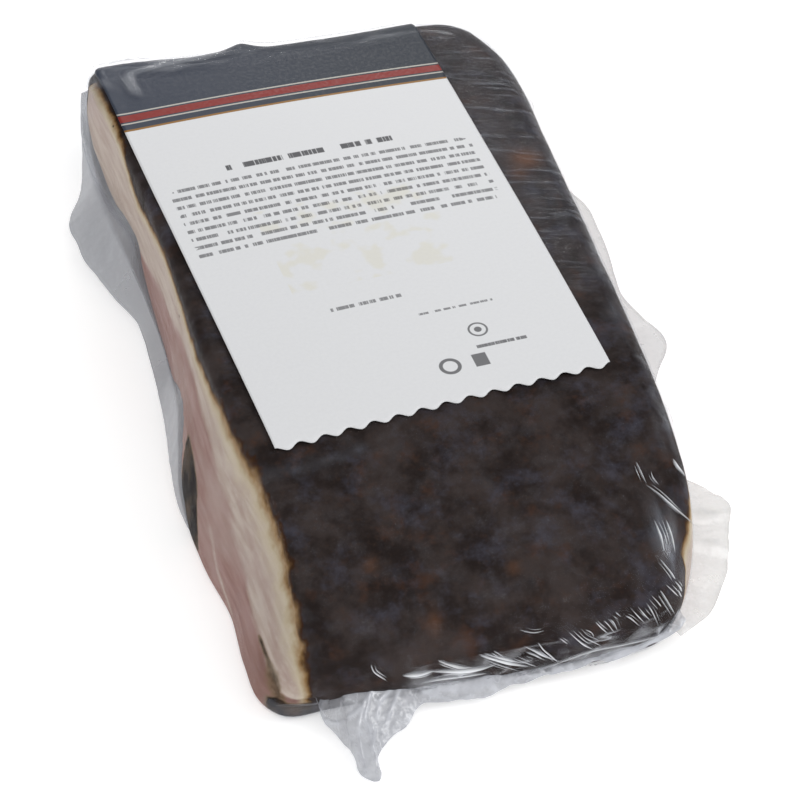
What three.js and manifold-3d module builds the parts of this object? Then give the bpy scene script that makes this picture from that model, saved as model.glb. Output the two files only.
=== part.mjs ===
// A piece of smoked pork belly, sealed in a clear film bag, with a paper label over its top and back edge.
// Millimetres, Z up. The slab lies flat: its length runs along Y, its rounded front end faces -Y.
// Two solids: the sealed bag with its contents and its loose film flaps, and the label.
import * as THREE from "three";
import { mergeVertices } from "three/addons/utils/BufferGeometryUtils.js";
import Module from "manifold-3d";

const wasm = await Module();
wasm.setup();

// The slab's outline from above, anticlockwise from the front left corner. Each row holds the outline
// at the top edge, the outline at the foot, and the radius of the top edge.
const OUTLINE = [
  { top: [14, -5.2], foot: [5, -5], edge: 6 },
  { top: [23, -6.5], foot: [18, -5.8], edge: 10 },
  { top: [45, -8], foot: [45, -6.5], edge: 12 },
  { top: [75, -8.5], foot: [75, -8], edge: 12 },
  { top: [100, -8.5], foot: [100, -8], edge: 12 },
  { top: [112, -6.5], foot: [111, -6.5], edge: 11 },
  { top: [120, 0], foot: [118, -1], edge: 10 },
  { top: [125.5, 10], foot: [123, 9], edge: 9 },
  { top: [128.5, 24], foot: [126, 22], edge: 7 },
  { top: [129, 45], foot: [127.5, 45], edge: 6 },
  { top: [129.5, 75], foot: [128.5, 75], edge: 6 },
  { top: [129.5, 105], foot: [129, 105], edge: 6 },
  { top: [130, 140], foot: [129.5, 140], edge: 6 },
  { top: [130.5, 175], foot: [130, 175], edge: 7 },
  { top: [131, 200], foot: [130.5, 200], edge: 8 },
  { top: [129, 220], foot: [128, 220], edge: 9 },
  { top: [122.5, 234], foot: [121, 233], edge: 10 },
  { top: [110, 239.5], foot: [108, 238], edge: 11 },
  { top: [90, 237.5], foot: [90, 236], edge: 12 },
  { top: [60, 235], foot: [60, 234], edge: 12 },
  { top: [30, 234], foot: [30, 233], edge: 12 },
  { top: [7, 233], foot: [6, 231], edge: 8 },
  { top: [-2.5, 229], foot: [-3, 226], edge: 5 },
  { top: [-4, 217], foot: [-5, 213], edge: 4 },
  { top: [-1.5, 200], foot: [-4, 198], edge: 3.5 },
  { top: [2, 170], foot: [-1, 170], edge: 3.5 },
  { top: [4.4, 135], foot: [1, 138], edge: 3.5 },
  { top: [5, 112], foot: [0, 114], edge: 3.5 },
  { top: [5.5, 96], foot: [-3, 98], edge: 3.5 },
  { top: [6.5, 80], foot: [-6, 82], edge: 3.5 },
  { top: [8, 62], foot: [-6.5, 66], edge: 3.5 },
  { top: [11.5, 46], foot: [-4.8, 49], edge: 3.5 },
  { top: [12.8, 30], foot: [-1.8, 33], edge: 4 },
  { top: [12.2, 12], foot: [-1.8, 15], edge: 4 },
  { top: [11.5, 1], foot: [-0.6, 2], edge: 4.5 },
];

// Height of the top along the left and the right edge, from front to back.
const LEFT_HEIGHT = [
  [-12, 26], [0, 30], [12, 34], [24, 38], [36, 41.5], [46, 43.6], [58, 44.6],
  [90, 44.4], [130, 43.8], [170, 43.2], [200, 42.4], [225, 41], [245, 39],
];
const RIGHT_HEIGHT = [
  [-12, 25], [0, 29], [12, 33], [24, 37], [36, 40], [46, 42.2], [58, 43.4],
  [90, 42.6], [130, 40.4], [170, 37.2], [200, 34.6], [225, 32], [245, 30],
];
const LEFT_X = 5; // where LEFT_HEIGHT holds
const RIGHT_X = 127; // where RIGHT_HEIGHT holds
const CROWN = 1.5; // rise of the middle over the two edges
const BEYOND_EDGES = 0.1; // the slope between the two edges runs on this share of the width past each

const SAMPLES = 105; // points round each ring
const FINE_SAMPLES = 700; // points for distances to the outline
const MERGE_TOLERANCE = 1e-4; // points nearer than this are one
const CORNER_REACH = 9; // the outline's inward directions are evened out over this
const FOOT_RADIUS = 4;
const FOOT_STEPS = 3;
const WALL_STEPS = 4;
const EDGE_STEPS = 4;
const TOP_RINGS = [0.86, 0.72, 0.58, 0.44, 0.3, 0.18, 0.08]; // share of the way out from the middle line
// The top's rings close on a middle line. Rim points from RIM_FRONT on, over RIM_SPAN, share out its length.
const MIDDLE_X = 62;
const MIDDLE_FRONT = 70;
const MIDDLE_BACK = 178;
const RIM_FRONT = 5;
const RIM_SPAN = 220;
const WALL_BULGE = 1.2;
const WALL_EASE = 0.5; // share of the wall's run from foot to top that is an S-curve instead of straight

// The film flaps. Each station holds a root point inside the slab's wall and a tip point. Stations are in
// order along the flap.
const FILM = 1.6; // thickness of a flap
const FILM_PLIES = 4; // columns from root to tip
const TAUT_SHARE = 0.3; // how much of the slack every second station has
const LEFT_SLACK = 0.8; // how far the flaps sag between root and tip
const FIN_SLACK = 0.6;
const SKIRT_SLACK = 0.9;
const LEFT_FLAP = [
  { root: [4, 228, 27], tip: [-4.5, 229, 33] },
  { root: [3, 222, 24], tip: [-7, 226, 28] },
  { root: [1, 214, 20], tip: [-8.5, 217, 21] },
  { root: [1, 206, 17], tip: [-11, 208, 12] },
  { root: [2, 202, 15], tip: [-16.4, 202, 6] },
  { root: [2, 197, 14], tip: [-17.5, 196, 5] },
  { root: [2, 191, 13], tip: [-16.6, 190, 5] },
  { root: [3, 183, 12], tip: [-15.8, 182, 5] },
  { root: [4, 172, 11], tip: [-12.7, 171, 5] },
  { root: [5, 160, 10], tip: [-8.6, 160, 5] },
  { root: [6, 147, 9], tip: [-4.4, 148, 5] },
  { root: [6, 134, 9], tip: [-4.2, 135.5, 5] },
  { root: [5, 118, 9], tip: [-3.8, 118, 5] },
  { root: [4, 100, 9], tip: [-5, 99, 5] },
  { root: [2, 84, 9], tip: [-7, 80, 5] },
  { root: [2, 70, 9], tip: [-7.6, 66, 5] },
];
const RIGHT_FIN = [
  { root: [125, 160, 17], tip: [134, 166, 17] },
  { root: [125, 152, 17], tip: [139.4, 155, 16] },
  { root: [125, 143, 17], tip: [140.4, 145, 15] },
  { root: [124, 133, 17], tip: [140.2, 134.6, 15] },
  { root: [124, 123, 16], tip: [139.2, 124.4, 15] },
  { root: [124, 113, 16], tip: [139, 115.5, 14.5] },
  { root: [124, 104, 16], tip: [142.6, 105.5, 14] },
  { root: [124, 98, 16], tip: [145.9, 97, 14] },
  { root: [124, 92, 16], tip: [145, 91, 14] },
  { root: [124, 84, 16], tip: [141, 85, 14] },
  { root: [124, 77, 16], tip: [137, 78, 14.5] },
  { root: [124, 70, 16], tip: [131.5, 70, 15] },
];
// The skirt runs from the front left corner along the crumpled tail and the seam to the flap at the front
// right.
const SKIRT = [
  { root: [14, 2, 12], tip: [13.6, -8, 5] },
  { root: [16, 0, 12], tip: [15, -11.5, 4.5] },
  { root: [18, 0, 11], tip: [17.5, -15.9, 3.5] },
  { root: [20, 0, 11], tip: [18.9, -21, 3] },
  { root: [21.5, 0, 11], tip: [19.8, -29, 2.2] },
  { root: [24, 0, 11], tip: [22.6, -31.6, 2] },
  { root: [26, 0, 11], tip: [25.3, -31.8, 2] },
  { root: [28, 0, 11], tip: [26.6, -27, 2.4] },
  { root: [31, 0, 10.5], tip: [29.6, -22, 3] },
  { root: [35, 0, 10.5], tip: [34, -18.3, 3] },
  { root: [39, 0, 10], tip: [38.6, -15.4, 3] },
  { root: [42, 0, 10], tip: [41.5, -11, 3.5] },
  { root: [48, 0, 10], tip: [48, -11.6, 3] },
  { root: [57, -1, 10], tip: [57, -12.8, 2.5] },
  { root: [65, -1, 10], tip: [65, -11.8, 3] },
  { root: [74, -1, 10], tip: [74, -11.4, 2.6] },
  { root: [82, -1, 10], tip: [82, -10.6, 3] },
  { root: [92, -1, 10], tip: [92, -10.8, 2.6] },
  { root: [102, -1, 10], tip: [102, -10.4, 2.8] },
  { root: [108, 1, 10], tip: [111, -10.4, 3.4] },
  { root: [111, 4, 10], tip: [118.5, -7.6, 4.6] },
  { root: [113, 7, 11], tip: [123.5, -5, 6] },
  { root: [115, 10, 12], tip: [128.6, -2.2, 7] },
  { root: [117, 14, 13], tip: [134.2, 5, 8] },
  { root: [119, 18, 14], tip: [138.4, 12.5, 8] },
  { root: [120, 23, 14], tip: [141.4, 21.5, 8] },
  { root: [121, 28, 15], tip: [144.6, 29.4, 8] },
  { root: [121, 32, 15], tip: [145.4, 33, 8.5] },
  { root: [121, 36, 16], tip: [142.6, 36.4, 10] },
  { root: [122, 41, 16], tip: [137, 40.4, 12] },
  { root: [122, 46, 16], tip: [130, 45, 14] },
];

// The label, laid on the top a little askew, its back end bent down over the back edge.
const LABEL_CORNER = [17.3, 53.6]; // front left corner
const LABEL_TURN = 5.3; // degrees anticlockwise
const LABEL_WIDTH = 100;
const LABEL_SPREAD = 0.04; // how much wider it lies at the spread's end than at its front edge
const SPREAD_END = 140.6; // distance from the front edge
const SPREAD_LIMIT = 1.3; // the spread grows up to this share of SPREAD_END
const LABEL_EDGE_GAP = 2.6; // nearest it comes to the slab's outline
const LABEL_THICKNESS = 0.6;
const LABEL_LIFT = 0.35; // gap under the label
const LABEL_ROWS = [5, 11, 20, 38, 65, 95, 125, 148, 164]; // distances from the front edge
const LABEL_BEND_ROWS = 8; // from the last of these to the back end
const LABEL_BACK_SEARCH = 40; // the back end lies within this of the last row
const SEARCH_STOP = 0.01; // how closely the back end is found
const SLOPE_REACH = 0.4; // half the distance over which the top's slope is taken
const SCALLOPS = 14;
const SCALLOP_DEPTH = 1.8;
const SCALLOP_POINTS = 4; // per scallop

const radians = THREE.MathUtils.degToRad;
const lerp = THREE.MathUtils.lerp;
const clamp = THREE.MathUtils.clamp;

function closedCurve(key) {
  const points = OUTLINE.map((row) => new THREE.Vector3(row[key][0], row[key][1], 0));
  return new THREE.CatmullRomCurve3(points, true, "centripetal");
}

const topCurve = closedCurve("top");
const footCurve = closedCurve("foot");

// Edge radius at a share of the way round.
function edgeRadius(share) {
  const place = share * OUTLINE.length;
  const before = Math.floor(place) % OUTLINE.length;
  const after = (before + 1) % OUTLINE.length;
  return lerp(OUTLINE[before].edge, OUTLINE[after].edge, place - Math.floor(place));
}

// A smooth curve through [position, value] rows.
function along(rows, position) {
  const last = rows.length - 1;
  if (position <= rows[0][0]) return rows[0][1];
  if (position >= rows[last][0]) return rows[last][1];
  const i = rows.findIndex((row) => row[0] > position) - 1;
  const slope = (a, b) => (rows[b][1] - rows[a][1]) / (rows[b][0] - rows[a][0]);
  const width = rows[i + 1][0] - rows[i][0];
  const t = (position - rows[i][0]) / width;
  const startSlope = slope(Math.max(i - 1, 0), i + 1);
  const endSlope = slope(i, Math.min(i + 2, last));
  const rise = rows[i + 1][1] - rows[i][1];
  const s = t * t * (3 - 2 * t);
  return (
    rows[i][1] +
    rise * s +
    width * (startSlope * t * (1 - t) * (1 - t) - endSlope * t * t * (1 - t))
  );
}

// Height of the top, before its edge is rounded.
function topHeight(x, y) {
  const across = (x - LEFT_X) / (RIGHT_X - LEFT_X);
  const crown = CROWN * 4 * Math.max(across * (1 - across), 0);
  const place = clamp(across, -BEYOND_EDGES, 1 + BEYOND_EDGES);
  return lerp(along(LEFT_HEIGHT, y), along(RIGHT_HEIGHT, y), place) + crown;
}

// The outline's samples: points, inward normals and edge radii.
function sampleOutline(count) {
  return Array.from({ length: count }, (_, i) => {
    const share = i / count;
    const tangent = topCurve.getTangent(share);
    return {
      top: topCurve.getPoint(share),
      foot: footCurve.getPoint(share),
      inward: new THREE.Vector3(-tangent.y, tangent.x, 0).normalize(),
      radius: edgeRadius(share),
    };
  });
}

const fine = sampleOutline(FINE_SAMPLES);

// The ring's inward directions are evened out over a reach, so that inset points don't cross at the corners.
const ring = sampleOutline(SAMPLES).map((sample) => {
  const even = new THREE.Vector3();
  for (const other of fine) {
    const share = other.top.distanceTo(sample.top) / CORNER_REACH;
    even.addScaledVector(other.inward, Math.exp(-share * share));
  }
  return { ...sample, inward: even.normalize() };
});

// Nearest outline sample, and the distance inwards from the outline there.
function nearest(x, y) {
  let best = fine[0];
  let least = Infinity;
  for (const sample of fine) {
    const distance = Math.hypot(sample.top.x - x, sample.top.y - y);
    if (distance < least) [best, least] = [sample, distance];
  }
  const inwards = (x - best.top.x) * best.inward.x + (y - best.top.y) * best.inward.y;
  return { sample: best, inwards };
}

// Height of the slab's rounded top.
function slabHeight(x, y) {
  const { sample, inwards } = nearest(x, y);
  const short = clamp(sample.radius - inwards, 0, sample.radius);
  return topHeight(x, y) - sample.radius + Math.sqrt(sample.radius ** 2 - short ** 2);
}

function inset(point, sample, distance) {
  return point.clone().addScaledVector(sample.inward, distance);
}

// The rings of the slab from the foot to the innermost ring of the top, each a list of points.
function slabRings() {
  const rings = [];
  for (let step = 0; step <= FOOT_STEPS; step += 1) {
    const angle = (Math.PI / 2) * (step / FOOT_STEPS);
    rings.push(
      ring.map((sample) => {
        const point = inset(sample.foot, sample, FOOT_RADIUS * (1 - Math.sin(angle)));
        return point.setZ(FOOT_RADIUS * (1 - Math.cos(angle)));
      }),
    );
  }
  const edgeStart = (sample) => slabHeight(sample.top.x, sample.top.y);
  for (let step = 1; step <= WALL_STEPS; step += 1) {
    const share = step / (WALL_STEPS + 1);
    const ease = lerp(share, share * share * (3 - 2 * share), WALL_EASE);
    rings.push(
      ring.map((sample) => {
        const point = sample.foot.clone().lerp(sample.top, ease);
        point.addScaledVector(sample.inward, -WALL_BULGE * Math.sin(Math.PI * share));
        return point.setZ(lerp(FOOT_RADIUS, edgeStart(sample), share));
      }),
    );
  }
  for (let step = 0; step <= EDGE_STEPS; step += 1) {
    const angle = (Math.PI / 2) * (step / EDGE_STEPS);
    rings.push(
      ring.map((sample) => {
        const point = inset(sample.top, sample, sample.radius * (1 - Math.cos(angle)));
        return point.setZ(slabHeight(point.x, point.y));
      }),
    );
  }
  for (const share of TOP_RINGS) {
    rings.push(
      ring.map((sample) => {
        const rim = inset(sample.top, sample, sample.radius);
        const back = clamp((rim.y - RIM_FRONT) / RIM_SPAN, 0, 1);
        const middle = new THREE.Vector3(MIDDLE_X, lerp(MIDDLE_FRONT, MIDDLE_BACK, back), 0);
        const point = middle.lerp(rim, share);
        return point.setZ(slabHeight(point.x, point.y));
      }),
    );
  }
  return rings;
}

// A geometry from points and triangles of point indices.
function geometryOf(points, triangles) {
  const geometry = new THREE.BufferGeometry().setFromPoints(points);
  geometry.setIndex(triangles.flat());
  return geometry;
}

function toSolid(geometry) {
  const bare = geometry.clone();
  bare.deleteAttribute("normal");
  bare.deleteAttribute("uv");
  const merged = mergeVertices(bare, MERGE_TOLERANCE);
  return new wasm.Manifold(
    new wasm.Mesh({
      numProp: 3,
      vertProperties: merged.attributes.position.array,
      triVerts: new Uint32Array(merged.index.array),
    }),
  );
}

function toGeometry(solid) {
  const mesh = solid.getMesh();
  const geometry = new THREE.BufferGeometry();
  geometry.setAttribute("position", new THREE.BufferAttribute(mesh.vertProperties, 3));
  geometry.setIndex(new THREE.BufferAttribute(mesh.triVerts, 1));
  return geometry;
}

function slab() {
  const rings = slabRings();
  const points = rings.flat();
  const triangles = [];
  for (let level = 0; level + 1 < rings.length; level += 1) {
    for (let i = 0; i < SAMPLES; i += 1) {
      const next = (i + 1) % SAMPLES;
      const [a, b] = [level * SAMPLES + i, level * SAMPLES + next];
      const [c, d] = [a + SAMPLES, b + SAMPLES];
      triangles.push([a, b, d], [a, d, c]);
    }
  }
  // The flat foot and the innermost part of the top are closed round a middle point each.
  const middleY = (MIDDLE_FRONT + MIDDLE_BACK) / 2;
  const footMiddle = points.length;
  const topMiddle = footMiddle + 1;
  points.push(new THREE.Vector3(MIDDLE_X, middleY, 0));
  points.push(new THREE.Vector3(MIDDLE_X, middleY, topHeight(MIDDLE_X, middleY)));
  const inner = (rings.length - 1) * SAMPLES;
  for (let i = 0; i < SAMPLES; i += 1) {
    const next = (i + 1) % SAMPLES;
    triangles.push([footMiddle, next, i], [topMiddle, inner + i, inner + next]);
  }
  return toSolid(geometryOf(points, triangles));
}

// A closed sheet from a grid of lower and upper points: rows along it, columns across it.
function sheet(lower, upper, rows, columns) {
  const points = [...lower, ...upper];
  const triangles = [];
  const at = (row, column) => row * columns + column;
  const above = lower.length;
  const quad = (a, b, c, d) => triangles.push([a, b, c], [a, c, d]);
  for (let row = 0; row + 1 < rows; row += 1) {
    for (let column = 0; column + 1 < columns; column += 1) {
      const [a, b] = [at(row, column), at(row, column + 1)];
      const [c, d] = [at(row + 1, column + 1), at(row + 1, column)];
      quad(above + a, above + b, above + c, above + d);
      quad(a, d, c, b);
    }
    const [first, firstNext] = [at(row, 0), at(row + 1, 0)];
    const [last, lastNext] = [at(row, columns - 1), at(row + 1, columns - 1)];
    quad(first, above + first, above + firstNext, firstNext);
    quad(last, lastNext, above + lastNext, above + last);
  }
  for (let column = 0; column + 1 < columns; column += 1) {
    const [front, frontNext] = [at(0, column), at(0, column + 1)];
    const [back, backNext] = [at(rows - 1, column), at(rows - 1, column + 1)];
    quad(front, frontNext, above + frontNext, above + front);
    quad(back, above + back, above + backNext, backNext);
  }
  return toSolid(geometryOf(points, triangles));
}

// A film flap: a thin sheet from its roots to its tips, a little slack between the two.
function flap(stations, slack) {
  const lower = [];
  const upper = [];
  stations.forEach((station, row) => {
    const root = new THREE.Vector3(...station.root);
    const tip = new THREE.Vector3(...station.tip);
    for (let column = 0; column < FILM_PLIES; column += 1) {
      const share = column / (FILM_PLIES - 1);
      const point = root.clone().lerp(tip, share);
      const sag = slack * Math.sin(Math.PI * share) * (row % 2 ? 1 : TAUT_SHARE);
      lower.push(point.clone().setZ(point.z - sag - FILM / 2));
      upper.push(point.clone().setZ(point.z - sag + FILM / 2));
    }
  });
  const solid = sheet(lower, upper, stations.length, FILM_PLIES);
  return solid.volume() > 0 ? solid : sheet(upper, lower, stations.length, FILM_PLIES);
}

function surfaceNormal(x, y) {
  const slopeX = (slabHeight(x + SLOPE_REACH, y) - slabHeight(x - SLOPE_REACH, y)) / (2 * SLOPE_REACH);
  const slopeY = (slabHeight(x, y + SLOPE_REACH) - slabHeight(x, y - SLOPE_REACH)) / (2 * SLOPE_REACH);
  return new THREE.Vector3(-slopeX, -slopeY, 1).normalize();
}

const labelAcross = new THREE.Vector2(Math.cos(radians(LABEL_TURN)), Math.sin(radians(LABEL_TURN)));
const labelAlong = new THREE.Vector2(-labelAcross.y, labelAcross.x);

function labelPoint(across, distance) {
  const share = clamp(distance / SPREAD_END, 0, SPREAD_LIMIT);
  const spread = LABEL_SPREAD * share * (across - LABEL_WIDTH / 2);
  return new THREE.Vector2(...LABEL_CORNER)
    .addScaledVector(labelAcross, across + spread)
    .addScaledVector(labelAlong, distance);
}

// How far along the label a column may run before it meets the rim of the slab.
function columnEnd(across) {
  let near = LABEL_ROWS[LABEL_ROWS.length - 1];
  let far = near + LABEL_BACK_SEARCH;
  while (far - near > SEARCH_STOP) {
    const middle = (near + far) / 2;
    const place = labelPoint(across, middle);
    if (nearest(place.x, place.y).inwards > LABEL_EDGE_GAP) near = middle;
    else far = middle;
  }
  return near;
}

function label() {
  const columns = SCALLOPS * SCALLOP_POINTS + 1;
  const bendStart = LABEL_ROWS[LABEL_ROWS.length - 1];
  const lines = Array.from({ length: columns }, (_, column) => {
    const across = (LABEL_WIDTH * column) / (columns - 1);
    const wave = 0.5 - 0.5 * Math.cos((2 * Math.PI * column) / SCALLOP_POINTS);
    const distances = [-SCALLOP_DEPTH * wave, ...LABEL_ROWS];
    const end = columnEnd(across);
    for (let row = 1; row <= LABEL_BEND_ROWS; row += 1) {
      distances.push(lerp(bendStart, end, row / LABEL_BEND_ROWS));
    }
    return distances.map((distance) => labelPoint(across, distance));
  });
  const rows = lines[0].length;
  const lower = [];
  const upper = [];
  for (let row = 0; row < rows; row += 1) {
    for (const line of lines) {
      const { x, y } = line[row];
      const base = new THREE.Vector3(x, y, slabHeight(x, y));
      const normal = surfaceNormal(x, y);
      lower.push(base.clone().addScaledVector(normal, LABEL_LIFT));
      upper.push(base.clone().addScaledVector(normal, LABEL_LIFT + LABEL_THICKNESS));
    }
  }
  return sheet(lower, upper, rows, columns);
}

const flaps = [flap(LEFT_FLAP, LEFT_SLACK), flap(RIGHT_FIN, FIN_SLACK), flap(SKIRT, SKIRT_SLACK)];
const bag = flaps.reduce((whole, piece) => whole.add(piece), slab());

const group = new THREE.Group();
const bagMesh = new THREE.Mesh(
  toGeometry(bag),
  new THREE.MeshStandardMaterial({ color: 0x2f2724, roughness: 0.3 }),
);
bagMesh.name = "bag";
const labelMesh = new THREE.Mesh(
  toGeometry(label()),
  new THREE.MeshStandardMaterial({ color: 0xe2e3e4, roughness: 0.7 }),
);
labelMesh.name = "label";
group.add(bagMesh, labelMesh);

// The origin is the middle of the pack's footprint, on what it rests on.
const box = new THREE.Box3().setFromObject(group);
const centre = box.getCenter(new THREE.Vector3());
group.position.set(-centre.x, -centre.y, -box.min.z);
export default group;
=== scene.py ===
"""A piece of smoked pork belly, vacuum sealed in clear film, with a paper label stuck over its top.

The slab's own frame is in millimetres: origin at the bottom front left corner, X right, Y back, Z up.
"""

import math

import bpy
import numpy as np
from mathutils import Matrix, Vector


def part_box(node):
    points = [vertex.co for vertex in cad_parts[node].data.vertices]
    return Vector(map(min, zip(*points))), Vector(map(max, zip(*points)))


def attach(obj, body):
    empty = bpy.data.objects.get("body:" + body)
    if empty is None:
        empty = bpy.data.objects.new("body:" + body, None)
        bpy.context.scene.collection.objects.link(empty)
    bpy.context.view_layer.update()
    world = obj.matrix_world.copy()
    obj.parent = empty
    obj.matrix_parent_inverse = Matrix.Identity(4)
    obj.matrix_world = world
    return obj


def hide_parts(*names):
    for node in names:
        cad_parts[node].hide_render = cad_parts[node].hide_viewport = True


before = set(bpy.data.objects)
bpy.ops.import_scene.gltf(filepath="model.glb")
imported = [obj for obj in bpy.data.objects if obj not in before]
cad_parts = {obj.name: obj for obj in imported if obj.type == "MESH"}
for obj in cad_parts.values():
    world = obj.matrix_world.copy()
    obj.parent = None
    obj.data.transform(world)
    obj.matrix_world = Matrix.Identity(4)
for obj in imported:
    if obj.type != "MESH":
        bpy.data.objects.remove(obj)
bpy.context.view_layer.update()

# ---- the slab's shape, as the CAD source has it
def table(text):
    """Rows of numbers from a text, with commas or new lines between the rows."""
    rows = text.replace("\n", ",").split(",")
    return np.array([[float(value) for value in row.split()] for row in rows if row.strip()])


# Top x, y, foot x, y and edge radius, anticlockwise from the front left corner.
OUTLINE = table("""
14 -5.2 5 -5 6, 23 -6.5 18 -5.8 10, 45 -8 45 -6.5 12, 75 -8.5 75 -8 12, 100 -8.5 100 -8 12,
112 -6.5 111 -6.5 11, 120 0 118 -1 10, 125.5 10 123 9 9, 128.5 24 126 22 7, 129 45 127.5 45 6,
129.5 75 128.5 75 6, 129.5 105 129 105 6, 130 140 129.5 140 6, 130.5 175 130 175 7, 131 200 130.5 200 8,
129 220 128 220 9, 122.5 234 121 233 10, 110 239.5 108 238 11, 90 237.5 90 236 12, 60 235 60 234 12,
30 234 30 233 12, 7 233 6 231 8, -2.5 229 -3 226 5, -4 217 -5 213 4, -1.5 200 -4 198 3.5, 2 170 -1 170 3.5,
4.4 135 1 138 3.5, 5 112 0 114 3.5, 5.5 96 -3 98 3.5, 6.5 80 -6 82 3.5, 8 62 -6.5 66 3.5,
11.5 46 -4.8 49 3.5, 12.8 30 -1.8 33 4, 12.2 12 -1.8 15 4, 11.5 1 -0.6 2 4.5
""")
LEFT_HEIGHT = table("""
-12 26, 0 30, 12 34, 24 38, 36 41.5, 46 43.6, 58 44.6, 90 44.4, 130 43.8, 170 43.2, 200 42.4, 225 41, 245 39
""")
RIGHT_HEIGHT = table("""
-12 25, 0 29, 12 33, 24 37, 36 40, 46 42.2, 58 43.4, 90 42.6, 130 40.4, 170 37.2, 200 34.6, 225 32, 245 30
""")
LEFT_X, RIGHT_X, CROWN = 5, 127, 1.5
CORNER_REACH, FOOT_RADIUS, WALL_BULGE = 9, 4, 1.2
MIDDLE_X, MIDDLE_FRONT, MIDDLE_BACK = 62, 70, 178
CAD_CORNER = np.array([-17.5, -31.8, 0.0])  # lowest corner of the CAD bag in the slab's frame

TO_ROW = np.array(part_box("bag")[0]) - CAD_CORNER / 1000


def to_row(points):
    """Slab frame in millimetres to row frame in metres."""
    return np.asarray(points, float) / 1000 + TO_ROW


def smooth(low, high, value):
    t = np.clip((np.asarray(value, float) - low) / (high - low), 0, 1)
    return t * t * (3 - 2 * t)


def unit(vectors):
    return vectors / np.maximum(np.linalg.norm(vectors, axis=-1, keepdims=True), 1e-9)


def bump(centre, width, value):
    return np.exp(-(((np.asarray(value, float) - centre) / width) ** 2))


def closed_curve(points, share):
    """A closed centripetal Catmull-Rom curve through the points."""
    count = len(points)
    place = np.asarray(share, float) * count
    i = np.floor(place).astype(int)
    t = (place - i)[:, None]
    p0, p1, p2, p3 = (points[(i + k) % count] for k in (-1, 0, 1, 2))
    d0, d1, d2 = (
        np.maximum(((b - a) ** 2).sum(1) ** 0.25, 1e-4)[:, None] for a, b in ((p0, p1), (p1, p2), (p2, p3))
    )
    start = ((p1 - p0) / d0 - (p2 - p0) / (d0 + d1) + (p2 - p1) / d1) * d1
    end = ((p2 - p1) / d1 - (p3 - p1) / (d1 + d2) + (p3 - p2) / d2) * d1
    return (
        p1 + start * t + (3 * (p2 - p1) - 2 * start - end) * t ** 2 + (2 * (p1 - p2) + start + end) * t ** 3
    )


def open_curve(points, share):
    """A smooth open curve through points of any dimension, at shares from 0 to 1."""
    points = np.asarray(points, float)
    count = len(points) - 1
    place = np.clip(np.asarray(share, float), 0, 1) * count
    i = np.minimum(np.floor(place).astype(int), count - 1)
    t = (place - i)[:, None]
    p1, p2 = points[i], points[i + 1]
    m1 = (p2 - points[np.maximum(i - 1, 0)]) / 2
    m2 = (points[np.minimum(i + 2, count)] - p1) / 2
    return p1 + m1 * t + (3 * (p2 - p1) - 2 * m1 - m2) * t ** 2 + (2 * (p1 - p2) + m1 + m2) * t ** 3


def even_share(points, count):
    """Shares along an open curve that are evenly spaced by length."""
    fine_share = np.linspace(0, 1, 2000)
    run = run_along(open_curve(points, fine_share))
    return np.interp(np.linspace(0, run[-1], count), run, fine_share)


def along(rows, position):
    """A smooth curve through (position, value) rows."""
    position = np.clip(np.asarray(position, float), rows[0, 0], rows[-1, 0])
    last = len(rows) - 1
    i = np.clip(np.searchsorted(rows[:, 0], position, side="right") - 1, 0, last - 1)
    x, v = rows[:, 0], rows[:, 1]
    before, after = np.maximum(i - 1, 0), np.minimum(i + 2, last)
    width = x[i + 1] - x[i]
    t = (position - x[i]) / width
    start = (v[i + 1] - v[before]) / (x[i + 1] - x[before])
    end = (v[after] - v[i]) / (x[after] - x[i])
    return (
        v[i] + (v[i + 1] - v[i]) * t * t * (3 - 2 * t)
        + width * (start * t * (1 - t) ** 2 - end * t * t * (1 - t))
    )


def top_height(x, y):
    across = (np.asarray(x, float) - LEFT_X) / (RIGHT_X - LEFT_X)
    crown = CROWN * 4 * np.maximum(across * (1 - across), 0)
    across = np.clip(across, -0.1, 1.1)
    return along(LEFT_HEIGHT, y) * (1 - across) + along(RIGHT_HEIGHT, y) * across + crown


def sample_outline(share):
    share = np.asarray(share, float)
    top = closed_curve(OUTLINE[:, :2], share)
    foot = closed_curve(OUTLINE[:, 2:4], share)
    ahead = closed_curve(OUTLINE[:, :2], (share + 1e-4) % 1) - closed_curve(OUTLINE[:, :2], (share - 1e-4) % 1)
    inward = unit(np.stack([-ahead[:, 1], ahead[:, 0]], 1))
    place = share * len(OUTLINE)
    before = np.floor(place).astype(int) % len(OUTLINE)
    after = (before + 1) % len(OUTLINE)
    t = place - np.floor(place)
    radius = OUTLINE[before, 4] * (1 - t) + OUTLINE[after, 4] * t
    return top, foot, inward, radius


FINE = sample_outline(np.arange(1050) / 1050)


def nearest(x, y):
    """The index of the nearest outline sample, and the distance inwards from the outline there."""
    x, y = np.ravel(x).astype(float), np.ravel(y).astype(float)
    best = np.empty(len(x), int)
    for start in range(0, len(x), 4000):
        part = slice(start, start + 4000)
        gap = (x[part, None] - FINE[0][None, :, 0]) ** 2 + (y[part, None] - FINE[0][None, :, 1]) ** 2
        best[part] = gap.argmin(1)
    off = np.stack([x, y], 1) - FINE[0][best]
    return best, (off * FINE[2][best]).sum(1)


def slab_height(x, y):
    shape = np.shape(x)
    best, inwards = nearest(x, y)
    radius = FINE[3][best]
    short = np.clip(radius - inwards, 0, radius)
    height = top_height(np.ravel(x), np.ravel(y)) - radius + np.sqrt(radius ** 2 - short ** 2)
    return height.reshape(shape)


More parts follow.
